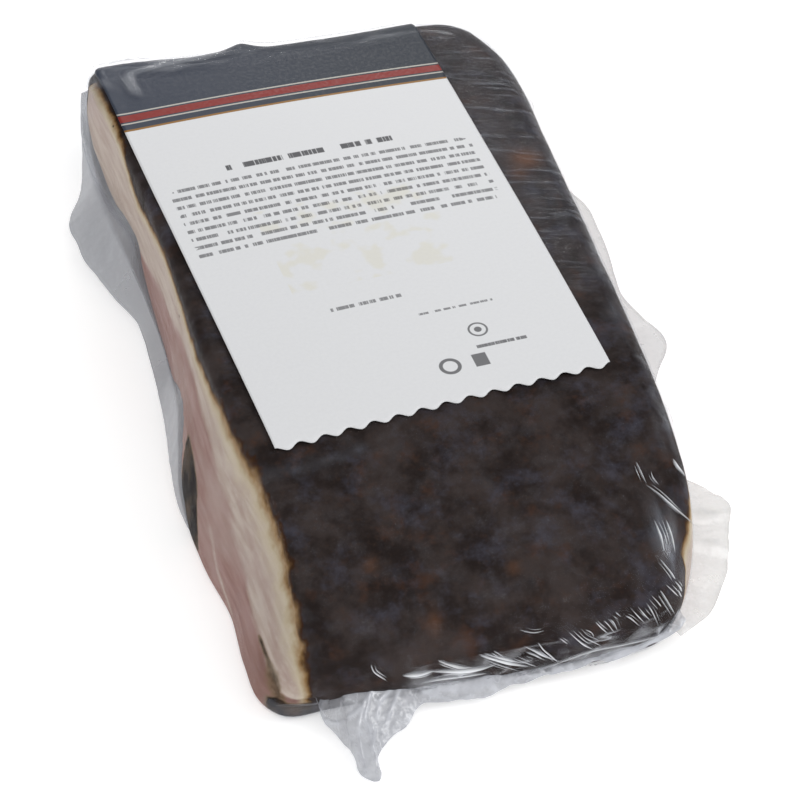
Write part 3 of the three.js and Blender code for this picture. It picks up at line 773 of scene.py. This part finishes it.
# Stations of the flaps: the root's x, y and z on the wall, then the free edge's.
LEFT_FLAP = table("""
-5 230 33 -5.8 230 31, -6.2 222 27 -7.4 226 24, -6.4 214 24 -9 217 16, -6.3 206 22 -12 208 9,
-5.9 201 20 -16.4 202 6, -5.3 195 19 -17.5 196 5, -4.6 190 19 -16.6 190 5, -3.9 183.5 21 -15.8 182 5,
-2.7 175 23 -12.7 172 5, -2 167 23 -9.6 162 5, 0 158 15 -5.4 152 5, 0 146 7.5 -4.4 143 5,
0 138 6.5 -4.4 136 5, 0 130 6.5 -4.4 129 5, 0 122 9 -4.6 120 5, 0 112 17 -5.2 108 5, 0 103 24.5 -6.2 98 5,
0 97 24.5 -7 90 5, 0 91 21 -7.7 83 4.5, 0 85 17 -7.8 76 4, 0 78.5 12 -7.2 70.5 4, 0 73 9 -6.4 65.5 4,
0 67.5 5.5 -5.4 62 4
""")
RIGHT_FIN = table("""
125 160 17 134 166 17, 125 152 17 139.4 155 16, 125 143 17 140.4 145 15, 124 133 17 140.2 134.6 15,
124 123 16 139.2 124.4 15, 124 113 16 139 115.5 14.5, 124 104 16 142.6 105.5 14, 124 98 16 145.9 97 14,
124 92 16 145 91 14, 124 84 16 141 85 14, 124 77 16 137 78 14.5, 124 70 16 131.5 70 15
""")
FRONT_SKIRT = table("""
14 0 14 13.3 -6.4 12, 15 0 13 14.2 -8 6, 16 -2 12 15.3 -11 4, 17.5 -3 11.5 17 -14 3, 19 -3 11 18.5 -17.5 2.5,
20.5 -3 11 20 -22 2.2, 22 -4 11 20.6 -28 2, 23.5 -4 11 22.6 -30.8 1.8, 25.5 -4 11 25.6 -31.4 1.8,
27.5 -4 11 26.4 -27 2, 29.5 -4 11 28 -22.6 2.2, 32.5 -4 10.5 32.4 -18.6 2.4, 36 -4 10.5 36.7 -16.6 2.6,
39.5 -4 10 39.9 -13 3, 43 -4 10 43 -10.4 3, 48 -4 10 47 -11.2 3, 54 -5 10 53 -12 3, 61 -5 10 60.4 -12.7 3,
68.5 -5 10 68.7 -10.4 3, 73 -5 10 72.2 -11.2 3.4, 77.5 -5 10 77.4 -9.9 3.5, 82 -5 10.5 82.2 -10.4 3.8,
87 -5 10.5 86.9 -10.6 4, 92 -5 11 92.5 -9.4 4.2, 97 -5 11.5 97.3 -11 5, 103 -5 12 104.1 -10.2 5.4,
108 -4 13 108.7 -9.2 6.4, 112 -3 14 112.8 -9.4 8, 115 -1 15 117 -8.2 9.4, 117 1 15.5 119.5 -6.2 10
""")
RIGHT_FLAP = table("""
112 0 13 117.5 -8 6, 113 3 13 123.5 -5 6, 115 7 13 128.6 -2.2 7, 117 12 14 134.2 5 8, 119 17 15 138.4 12.5 8,
120 22 16 141.4 21.5 8, 121 27 17 144.6 29.4 8, 121 32 18 145.4 33 8.5, 121 36 18 142.6 36.4 10,
122 41 18 137 40.4 12, 122 46 18 130 45 14
""")

def creases(text):
    """Creases of the film from a text: on each line the width and height, then the points they run through."""
    rows = []
    for line in text.replace(",\n    ", ",").strip().splitlines():
        size, path = line.split(":")
        rows.append((*map(float, size.split()), [tuple(map(float, point.split())) for point in path.split(",")]))
    return rows


SKIN_CREASES = creases("""
0.9 0.7: 29.3 -6.7 20.6, 29.8 -7.1 17.8, 31.2 -7.6 16, 33.2 -8 13.8
2.6 1: 37.6 -8.1 14.8, 42 -8.4 14, 46.5 -8.4 14.4
3 1.1: 45 -8.4 14.5, 49.3 -8.6 13.4, 54 -8.9 12.3, 59.2 -9.1 11.9, 64 -9.2 12.8
2.2 0.9: 47.5 -8 18, 50 -8.3 16, 53.5 -8.7 14, 57 -8.9 13.2
2.4 1: 59 -8.2 17, 63 -8.8 14.6, 67.6 -9.3 12, 73.6 -9.2 8.5
1.6 0.8: 43 -8.4 10, 49 -8.8 10.6, 56 -9 10, 61 -9.2 9.4
1.8 0.8: 71.5 -8.3 17, 75 -9 14.4, 77.6 -9.4 12.1, 82.3 -9.3 8
0.7 0.5: 60.7 -8.7 15.1, 64.5 -9.2 12, 70.6 -8.8 6.8
0.6 0.5: 63 -8.3 17.8, 66.1 -8.9 14.4
0.6 0.5: 68.3 -9 13.8, 72.1 -9.4 10.9, 75.6 -9.1 7.4
0.6 0.5: 72.1 -8.8 14.9, 74.3 -9.2 13.3, 76.3 -9.5 11.5
0.9 0.8: 75.7 -8.4 17.6, 77 -8.9 14.6, 78.9 -9.5 12, 81.6 -9.2 7.5
0.6 0.4: 81.6 -8.5 17.5, 83 -8.6 15.9, 84.3 -9 14.7
0.9 0.8: 84.3 -8.3 19.1, 86.9 -8.8 15.4, 88.9 -9.4 13.2, 91.4 -9.7 11.1
0.6 0.5: 86.9 -8.3 19, 88.9 -8.7 15.7, 91.4 -9.3 13.6, 93.9 -9.7 11.4
0.5 0.4: 88.9 -8.3 18.9, 90.8 -8.7 17.2, 91.4 -8.9 15.3
0.8 0.7: 92 -7.9 20.5, 93.2 -8.4 18.8, 95.6 -8.7 15.5
0.8 0.7: 94.4 -7.8 20.4, 95.6 -8.3 18.7, 97.3 -8.8 15.2
0.5 0.4: 96.1 -7.8 20.4, 97.3 -8.3 18.7, 98.4 -8.6 15.5
0.8 0.7: 100.6 -7.5 20.3, 102.3 -7.9 18.8, 104.7 -8.3 15.2
0.6 0.5: 102.2 -6.7 22, 104.3 -7.8 18.9, 106.2 -8 15.9
0.8 0.7: 104.3 -6.6 22, 106.1 -7.6 18.9, 107.9 -7.7 16.1
0.7 0.7: 106.9 -6.3 22.1, 108.4 -7.2 19.1, 110.3 -7.9 13.5
0.6 0.5: 108.5 -5.2 23.7, 110.4 -6.2 20.9, 111.1 -6.5 19.4
0.9 0.9: 111.2 -4.4 24.1, 112.5 -5.3 21.2, 115.9 -5.2 13
0.6 0.5: 113.3 -3.2 24.4, 115.1 -3.7 21.8, 117.2 -3.1 17.7
0.6 0.5: 116.1 -2.1 23.7, 117.5 -2.2 21.1, 118.5 -1.9 18.2
0.6 0.5: 116.9 -2.8 20.9, 117.7 -2.5 18.4, 118.3 -2.6 16.4
0.5 0.3: 70.6 -6.9 22.7, 74.3 -7.6 21, 77.6 -7.6 20.9
0.5 0.3: 97.8 -7 22, 99.4 -7.6 20.3
0.9 0.8: 114.3 29.2 39.1, 114.6 26.2 38.3, 115.2 22.2 37.1
0.7 0.6: 117.5 25.7 38, 117.6 23.7 37.4, 118.7 21.4 36.6
1.2 1: 115.1 22 37, 118.2 18.3 35.7, 121.3 14.2 33.4, 125.8 12.6 28.2
1.2 0.8: 124.7 28.7 37.9, 125.3 26.3 36.8, 127.1 24.6 34.5
1.4 0.5: 114.3 12.1 33.7, 114.9 7.3 32, 114.6 3.3 30
1.2 0.5: 117.7 11.8 33.4, 117.9 7.5 31.3, 117.7 3.3 28.6
1 0.5: 112.8 1.8 29.5, 115.2 -0.7 26.3, 116.4 -1.8 23.8
""")
SOFT_CREASES = creases("""
1.2 0.5: 3.5 -4.4 7.5, 7 -5.8 8, 12.1 -6.8 8.2, 16 -7.1 8.4
""")
SEAM = creases("""
0.9 0.8: 117.2 -3.2 11, 111.9 -7.6 9.8, 107.1 -8.9 10.1, 99.1 -9.5 10.6, 90.8 -9.7 10.9, 83.6 -9.5 9,
    77 -9 6.6, 70 -8.8 5
""")
# Creases and welds of the loose film at the front, with painted highlights along them.
LOOSE_CREASES = creases("""
1.6 0.7: 118.6 -6.6 11.8, 116.5 -8.2 11.6, 112.4 -8.6 10.6, 106.7 -9 9.6, 100.9 -9.4 9, 96.4 -9.6 8.6,
    91 -9.8 8, 83.4 -10 7.4, 76.4 -10 7, 69 -9.6 7, 63.4 -9.2 7.4, 56.5 -8.8 8, 49.3 -8.6 8.6, 43.6 -8.6 8.4
0.9 0.6: 13.3 -5.4 14, 13.9 -7 9, 14.7 -9 6, 15.3 -10.8 4.6
1 0.7: 15.3 -10.9 4.6, 18.1 -12.6 4.8, 21.8 -12.9 5, 25 -11.4 5.4, 27.7 -9 6, 29.4 -7.2 7
0.9 0.7: 28.6 -8.4 6.4, 27.1 -11.3 5, 25.6 -14.4 4.6, 25.8 -19 3.6, 25.2 -23.4 3
1 0.7: 34.5 -7.4 7, 31 -10 5.4, 29 -14 4.4
0.8 0.6: 26 -11.2 5, 23.3 -16 4, 22.4 -21.6 3, 22.4 -27.3 2.4
1 0.7: 37.7 -6.6 7.6, 35.9 -9 6, 33 -12.8 4.6, 31.3 -15.8 3.8
0.7 0.5: 27.7 -17.2 4, 26.2 -21.4 3.2, 26 -25.9 2.6
2.2 0.6: 44.8 -8.4 7.6, 50.4 -9 7, 55.6 -10 6.4, 61.2 -10 6
0.8 0.5: 45.3 -9.6 5.4, 51.3 -11.4 4.6, 56.9 -11.6 4.4
2 0.6: 62.8 -10.8 5.4, 64.3 -12.2 4.6, 67.3 -11.2 5
2.6 0.7: 91.2 -10 7, 94.9 -11.4 6.6, 100.7 -11.4 7, 106 -10 7.6, 108.5 -9 8.4
0.7 0.5: 91.8 -10 8, 97.5 -10.2 8.4, 103.5 -9.8 8.8, 107.7 -9.2 9.4
""")


def crease_ridges(name, creases, lift, seed, material, companions, haze_and_highlight):
    """Small tapered ridges pressed up in the film, all in one piece, with painted highlights along their crests. Each
    crease gets as many finer ones beside it as companions says.
    """
    rng = np.random.default_rng(seed)
    points, faces, cover = [], [], []
    profile = np.array([(-0.5, -0.4), (-0.3, 0.3), (-0.08, 0.9), (0.10, 1.0), (0.3, 0.35), (0.5, -0.4)])
    for width, height, path in creases:
        path = np.asarray(path, float)
        length = run_along(path)[-1]
        for companion in range(1 + companions):
            count = max(8, int(length / 0.5))
            span = (rng.uniform(0.0, 0.25), rng.uniform(0.7, 1.0)) if companion else (0.0, 1.0)
            line = open_curve(path, np.linspace(*span, count))
            out = outward(line)
            side = unit(np.cross(unit(np.gradient(line, axis=0)), out))
            share = np.linspace(0, 1, count)
            shift = rng.choice([-1, 1]) * rng.uniform(0.55, 1.3) if companion else 0.0
            drift = np.sin(share * rng.uniform(2, 5) + rng.uniform(0, 6)) * 0.07
            line = line + side * (shift + drift)[:, None]
            size_scale = rng.uniform(0.35, 0.7) if companion else 1.0
            taper = np.sin(math.pi * np.clip(share * 0.96 + 0.02, 0, 1)) ** 0.8
            wobble = 1 + 0.2 * np.sin(share * rng.uniform(6, 12) + rng.uniform(0, 6))
            first = len(points)
            strength = haze_and_highlight * rng.uniform(0.7, 1.2) * (0.8 if companion else 1.0)
            for k in range(count):
                for across, up in profile:
                    points.append(
                        line[k] + side[k] * across * width * 0.62 * size_scale * taper[k] * wobble[k]
                        + out[k] * (lift + up * height * 0.8 * size_scale * taper[k])
                    )
                    # painted highlight, strongest on the ridge's crest
                    cover.append(strength * (0.15 + 0.85 * max(up, 0)) * taper[k])
            size = len(profile)
            for k in range(count - 1):
                for m in range(size):
                    a, b = first + k * size + m, first + k * size + (m + 1) % size
                    faces.append((a, b, b + size, a + size))
            faces.append(tuple(first + m for m in reversed(range(size))))
            faces.append(tuple(first + (count - 1) * size + m for m in range(size)))
    points = np.array(points)
    points[:, 2] = np.maximum(points[:, 2], 0.1)
    mesh_object(
        name, points, faces, material, attributes={"haze_and_highlight": cover, "streak": np.zeros(len(points))},
    )


# Painted highlights in pale pockets of film under the front seam: x, z, half width, half height, strength.
POCKETS = table("98 8.2 5 2.2 0.75, 88 8.5 5 1.8 0.6, 107 8 3 1.6 0.5, 79 6 5 1.6 0.5, 50 9 9 2.4 0.45")


def edge_wrap(name, rows, down, over, size, cell, seed, fold, haze_and_highlight, slant=0.6, sharp=0.22, base=0.5,
              broad_highlight=0.35, lines=1.0, steep=-1.0, pockets=()):
    """Folded film over the slab's rim, between two outline rows: from down millimetres below the rim's start
    to over millimetres past it. The folds run along the rim, in cells of a length and a width, and carry a painted
    shine where the sheet faces up more than steep, and at the pockets."""
    noise = Lattice(seed)
    count, levels = size
    share = np.linspace(rows[0], rows[1], count) / ROWS
    grid, wall_top, _ = slab_grid(share, 4, 60, 24, np.linspace(1, 0.5, 70)[1:])
    run = run_up(grid)
    run = run - run[wall_top]
    rise = np.linspace(-down, over, levels)
    grid = np.stack([
        np.stack([np.interp(rise, run[:, k], grid[:, k, axis]) for axis in range(3)], -1) for k in range(count)
    ], 1)
    normal = grid_normals(grid, closed=False)
    length = run_along(grid[levels // 2])
    flat = np.stack(np.broadcast_arrays(length[None] + slant * rise[:, None], rise[:, None], 0.0), -1)
    bend = noise.fractal(flat + 90, 16, 2)
    flat[..., 1] += bend * cell[1] * 1.6
    fold_line = noise.fractal(flat, (cell[0], cell[1], 9), 2)
    crest = np.clip(1 - np.abs(fold_line) / sharp, 0, 1)
    patch = smooth(-0.15, 0.35, noise.fractal(flat + 40, (cell[0] * 1.1, cell[1] * 3.5, 9), 2))
    fade = smooth(-down, -down * 0.75, rise) * smooth(over, over * 0.7, rise)
    fade = fade[:, None] * (smooth(0, 6, length) * smooth(length[-1], length[-1] - 6, length))[None]
    broad = noise.fractal(flat + 160, (cell[0] * 0.8, cell[1] * 2.2, 9), 2)
    lift = base + (fold * crest * patch + 0.8 * fold * np.maximum(broad, 0)) * fade
    lift = lift + 2.4 * tip_bump(grid[..., 0], grid[..., 1])
    grid = grid + normal * lift[..., None]
    grid[..., 2] = np.maximum(grid[..., 2], 0.1)
    # Painted shine: along the fold crests and in broad streaks, and in the pockets, only where the sheet faces up more
    # than steep.
    shine = np.clip(lines * crest ** 2 * patch + broad_highlight * smooth(0.0, 0.5, broad), 0, 1) * fade
    for x, z, width, height, power in pockets:
        near = bump(0, 1, np.hypot((grid[..., 0] - x) / width, (grid[..., 2] - z) / height) ** 2)
        shine = np.maximum(shine, power * near * (0.6 + 0.6 * np.abs(fold_line)))
    shine = shine * smooth(steep, steep + 0.25, normal[..., 2])
    points, faces = open_grid(grid)
    mesh_object(
        name, points, faces, WRAP, attributes={"haze_and_highlight": haze_and_highlight * shine, "streak": 0.4 * fade * np.ones_like(shine)},
    )


def outward(line):
    """The slab's outward direction near points of its surface, from its outline and its top's slope."""
    best, inwards = nearest(line[:, 0], line[:, 1])
    radius = FINE[3][best]
    lean_out = np.clip(1 - inwards / radius, 0, 1)
    top = surface_normal(line[:, 0] + FINE[2][best][:, 0] * 0.5, line[:, 1] + FINE[2][best][:, 1] * 0.5)
    low = smooth(30, 12, line[:, 2])
    flat = np.column_stack([-FINE[2][best], np.full(len(line), 0.35)])
    mixed = top * (1 - low[:, None]) + flat * low[:, None] + flat * (lean_out * 0.4)[:, None]
    return unit(mixed)


# ---- the label
LABEL_CORNER = np.array([17.3, 53.6])
LABEL_TURN = math.radians(5.3)
LABEL_WIDTH = 100
LABEL_SPREAD = 0.04  # how much wider the label lies at the header than at its front edge
LABEL_EDGE_GAP = 2.6
LABEL_LIFT = 0.8
LABEL_THICKNESS = 0.25
SCALLOPS, SCALLOP_DEPTH = 14, 1.8
HEADER = 139.6  # where the dark header starts, from the front edge
PRINT_SLOPE = 0.033  # the print lies a little turned against the front edge


def label_point(across, distance):
    right = np.array([math.cos(LABEL_TURN), math.sin(LABEL_TURN)])
    back = np.array([-right[1], right[0]])
    off_middle = np.asarray(across, float) - LABEL_WIDTH / 2
    share = np.clip(np.asarray(distance, float) / HEADER, 0, 1.3)
    across = across + LABEL_SPREAD * off_middle * share
    return LABEL_CORNER + across[..., None] * right + np.asarray(distance)[..., None] * back


def surface_normal(x, y):
    reach = 0.4  # millimetres to each side
    slope_x = (slab_height(x + reach, y) - slab_height(x - reach, y)) / (2 * reach)
    slope_y = (slab_height(x, y + reach) - slab_height(x, y - reach)) / (2 * reach)
    return unit(np.stack([-slope_x, -slope_y, np.ones_like(slope_x)], -1))


def column_ends(across):
    near, far = np.full(len(across), 164.0), np.full(len(across), 204.0)
    while (far - near).max() > 0.01:
        middle = (near + far) / 2
        place = label_point(across, middle)
        inside = nearest(place[:, 0], place[:, 1])[1] > LABEL_EDGE_GAP
        near, far = np.where(inside, middle, near), np.where(inside, far, middle)
    return near


def label_material():
    """Plain generic print: a dark header with a gold line and a striped trim, and grey dashes in the rows
    where small print would be."""
    n = Nodes("label_print")
    corner = n.node("UVMap", 0, uv_map="print")
    u, raw = (n.mul(n.node("SeparateXYZ", axis, {0: corner}), 100.0) for axis in (0, 1))
    v = n.add(raw, n.mul(n.sub(u, 50.0), PRINT_SLOPE))

    def flat(across, up):
        return n.node("CombineXYZ", 0, {0: across, 1: up})

    def step(value, low, high):
        """1 between low and high, with a soft rim."""
        return n.mul(n.remap(value, low - 0.12, low + 0.12), n.remap(value, high - 0.12, high + 0.12, 1, 0))

    def box(u0, u1, v0, v1):
        return n.mul(step(u, u0, u1), step(v, v0, v1))

    def ring(u0, v0, low, high):
        off = (n.math("POWER", n.sub(value, middle), 2.0) for value, middle in ((u, u0), (v, v0)))
        return step(n.math("SQRT", n.add(*off)), low, high)

    def dashes(mask, pitch, offset, size, seed, shade):
        """Word-like dashes of broken short strokes, with no letters, inside the mask."""
        above, across = n.sub(v, offset), n.mul(u, 1.0 / size)
        line = n.math("FLOOR", n.math("DIVIDE", above, pitch))
        local = n.math("DIVIDE", n.sub(above, n.mul(line, pitch)), pitch)
        word = n.remap(n.noise(flat(across, n.add(n.mul(line, 7.3), seed)), 0.42, 1, 0.4), 0.43, 0.46)
        stroke = n.remap(n.noise(flat(across, n.mul(line, 3.7)), 2.2, 1, 0.5), 0.36, 0.46, 0.25, 1)
        tall = n.mul(n.remap(local, 0.2, 0.26), n.remap(local, 0.6, 0.66, 1, 0))
        return n.mul(n.mul(n.mul(word, stroke), n.mul(tall, mask)), shade)

    wear = n.noise(flat(u, v), 0.9, 3, 0.6)
    blot = n.mul(n.remap(n.noise(flat(u, v), 0.11, 2, 0.5), 0.5, 0.62, 0, 0.22), box(24, 76, 54, 92))
    paper = n.mix(blot, n.mix(wear, "e2e3e5", "eaebed"), "d9cf9c")
    header = n.mix(n.remap(u, 0, 100), "3a404e", "242b36")
    header = n.mix(n.remap(wear, 0.4, 0.75, 0, 0.25), header, "5a606c")
    colour = n.mix(n.remap(v, HEADER - 0.15, HEADER + 0.15), paper, header)
    # the gold line, and a plain trim: a red stripe between two thin pale lines
    for low, high, cover, tint in (
        (-0.2, 0.7, 1, "9a6f38"), (4.4, 7.6, 1, "8d2f2a"), (3.2, 3.8, 0.8, "d6d2c8"), (8.2, 8.8, 0.8, "d6d2c8"),
    ):
        colour = n.mix(n.mul(step(v, HEADER + low, HEADER + high), cover), colour, tint)
    # print rows
    margin = n.add(n.math("ABSOLUTE", n.sub(u, 50.0)), n.mul(n.noise(n.mul(v, 0.31), 1.0, 0), 14.0))
    rows = n.mul(n.mul(step(u, 4, 96), step(v, 77, 110.5)), n.math("LESS_THAN", margin, 53.0))
    ink = dashes(box(23, 74, 111.5, 117.5), 6.0, 111.5, 1.5, 3.0, 0.9)
    for row in (
        (rows, 3.7, 77.0, 0.8, 11.0, 0.72),
        (box(32, 53, 43.0, 46.6), 3.6, 43.0, 0.9, 5.0, 0.7),
        (box(55, 78, 34.2, 36.4), 2.2, 34.2, 0.6, 8.0, 0.7),
        (box(66, 81, 16.2, 19.4), 3.2, 16.2, 0.8, 9.0, 0.8),
    ):
        ink = n.math("MAXIMUM", ink, dashes(*row))
    for mask in (
        ring(68.8, 24.4, 2.3, 2.9), ring(68.8, 24.4, -1, 1.1), ring(56.2, 12.4, 2.1, 3.2),
        box(63.2, 67.4, 10.0, 15.0),
    ):
        ink = n.math("MAXIMUM", ink, n.mul(mask, 0.8))
    skin = n.principled(
        Base_Color=n.mix(ink, colour, "35353a"), Roughness=n.remap(wear, 0.3, 0.7, 0.36, 0.5),
        Specular_IOR_Level=0.2, Normal=n.bump(n.noise(n.coordinates(), 300, 3, 0.55), 0.12, 0.0004),
    )
    return n.finish(skin)


def label():
    columns, rows = 141, 150
    across = np.linspace(0, LABEL_WIDTH, columns)
    wave = 0.5 - 0.5 * np.cos(2 * math.pi * across / LABEL_WIDTH * SCALLOPS)
    start = -SCALLOP_DEPTH * wave
    end = column_ends(across) - 3 * smooth(80, 100, across)
    share = np.linspace(0, 1, rows)[:, None]
    settle = np.exp(-share * 30)
    distance = start[None] * settle + share * end[None]
    xy = label_point(np.broadcast_to(across, distance.shape), distance)
    height = slab_height(xy[..., 0], xy[..., 1])
    normal = surface_normal(xy[..., 0], xy[..., 1])
    base = np.concatenate([xy, height[..., None]], -1)
    noise = Lattice(31)
    near_back = smooth(16, 2, end[None] - distance)
    crease = noise.fractal(base * [0.25, 1, 1], 4, 2)
    lift = LABEL_LIFT + 2.2 * tip_bump(xy[..., 0], xy[..., 1])
    lift = lift + 0.5 * near_back * np.maximum(crease, -0.3) * smooth(100, 85, across)
    lift = lift + 0.05 * noise.fractal(base, 18, 2)
    lower = base + normal * lift[..., None]
    upper = base + normal * (lift + LABEL_THICKNESS)[..., None]
    points, faces = plate_grid(lower, upper)
    uv = np.stack([np.broadcast_to(across, distance.shape), distance], -1).reshape(-1, 2) / 100
    mesh_object(
        "printed_label", points, faces, label_material(), uv=np.vstack([uv, uv]), node="label",
    )


# ---- camera, light and floor
CAMERA = np.array([-88.2, -492.3, 660.3])
CAMERA_TILT, CAMERA_TURN = math.radians(47), math.radians(14.5)


def camera():
    data = bpy.data.cameras.new("camera")
    data.lens, data.sensor_width, data.sensor_fit = 135, 36, "HORIZONTAL"
    data.clip_start, data.clip_end = 0.05, 20
    view = linked("camera", data)
    ce, se = math.cos(CAMERA_TILT), math.sin(CAMERA_TILT)
    cp, sp = math.cos(CAMERA_TURN), math.sin(CAMERA_TURN)
    right, up, back = (cp, -sp, 0), (sp * se, cp * se, ce), (-sp * ce, -cp * ce, se)
    turn = Matrix((right, up, back)).transposed().to_4x4()
    view.matrix_world = Matrix.Translation(Vector(to_row(CAMERA))) @ turn
    bpy.context.scene.camera = view


def area_light(name, place, target, size, power):
    data = bpy.data.lights.new(name, "AREA")
    data.shape, data.size, data.size_y = "RECTANGLE", size[0], size[1]
    data.energy = power
    lamp = linked(name, data)
    lamp.location = place
    lamp.rotation_euler = (Vector(target) - Vector(place)).to_track_quat("-Z", "Y").to_euler()


MIRRORED = (0.17, 0.71, 0.68)  # the part of the sky that the slab's flat top mirrors to the camera


def surroundings():
    scene = bpy.context.scene
    n = Nodes("studio", "World")
    direction = n.node("TexCoord", "Generated")
    ahead = n.node("VectorMath", "Value", {0: direction, 1: MIRRORED}, operation="DOT_PRODUCT")
    strength = n.mul(
        n.remap(n.node("SeparateXYZ", "Z", {0: direction}), 0.0, 0.9, 0.6, 1.2, "LINEAR"),
        n.remap(ahead, 0.40, 0.88, 1.0, 0.14, "LINEAR"),
    )
    scene.world = n.finish(n.node("Background", 0, {"Color": (1, 1, 1), "Strength": strength}))
    scene.view_settings.view_transform, scene.view_settings.look = "Standard", "None"
    area_light("right_softbox", (1.1, -0.35, 0.9), (0.03, 0, 0), (0.7, 0.7), 5)
    area_light("back_softbox", (0.42, 1.6, 0.85), (0, 0, 0), (0.7, 0.22), 6)
    n = Nodes("pale_floor")
    tone = n.mix(n.noise(n.coordinates(), 3, 2, 0.5), (0.93, 0.93, 0.935), (0.95, 0.95, 0.95))
    mesh = bpy.data.meshes.new("floor")
    mesh.from_pydata([(-6, -6, 0), (6, -6, 0), (6, 6, 0), (-6, 6, 0)], [], [(0, 1, 2, 3)])
    mesh.materials.append(n.finish(n.principled(
        Base_Color=tone, Roughness=0.8, Specular_IOR_Level=0.1, Emission_Strength=0.42, Emission_Color=(1, 1, 1),
    )))
    floor = linked("floor", mesh)
    floor.location.z = -0.0002


camera()
surroundings()
pork()
film_skin()
flap(
    "film_left_flap", LEFT_FLAP, 300, 34, 0.35, 41, GREY_FILM_SHADED, slack=0.5,
    root_highlight=0.25, crumpled=0.06, crests=0.08, tucked=0.4,
    dense=lambda x, y: 0.14 * smooth(138, 124, y) + 0.2 * smooth(160, 185, y),
)
flap("film_right_fin", RIGHT_FIN, 160, 24, 0.35, 42, FIN_FILM, crumpled=0.1, crests=0.1)
flap(
    "film_front_skirt", FRONT_SKIRT, 420, 56, 0.75, 43, TAIL_FILM, slack=0.4, veins=1.0, lines=LOOSE_CREASES,
    crests=0.3, dense=lambda x, y: 0.3 * smooth(46, 38, x) * smooth(17, 24, x) + 0.1, crumpled=0.8,
)
flap("film_right_flap", RIGHT_FLAP, 240, 40, 1.1, 44, PALE_FILM, crumpled=0.25, crests=0.35)
edge_wrap(
    "film_back_folds", (15.6, 23.2), 8, 25, (320, 130), (30, 1.5), 61, 0.7, 0.36, base=1.9, broad_highlight=0.9,
    lines=0.4, steep=0.45,
)
edge_wrap("film_right_folds", (8.6, 15.8), 10, 9, (240, 50), (9, 3.2), 62, 0.5, 0.3, lines=0.6, steep=0.1)
edge_wrap(
    "film_front_folds", (1.7, 5.4), 21, 1, (300, 70), (9, 2.8), 63, 0.6, 0.7, slant=-0.5, broad_highlight=0.3,
    pockets=POCKETS,
)
crease_ridges("film_shrink_creases", SKIN_CREASES, 0.5, 51, CREASE, 1, 1.0)
crease_ridges("film_front_seam", SEAM, 0.9, 54, CREASE, 0, 0.8)
crease_ridges("film_soft_creases", SOFT_CREASES, 0.4, 53, CREASE, 0, 0.06)
label()
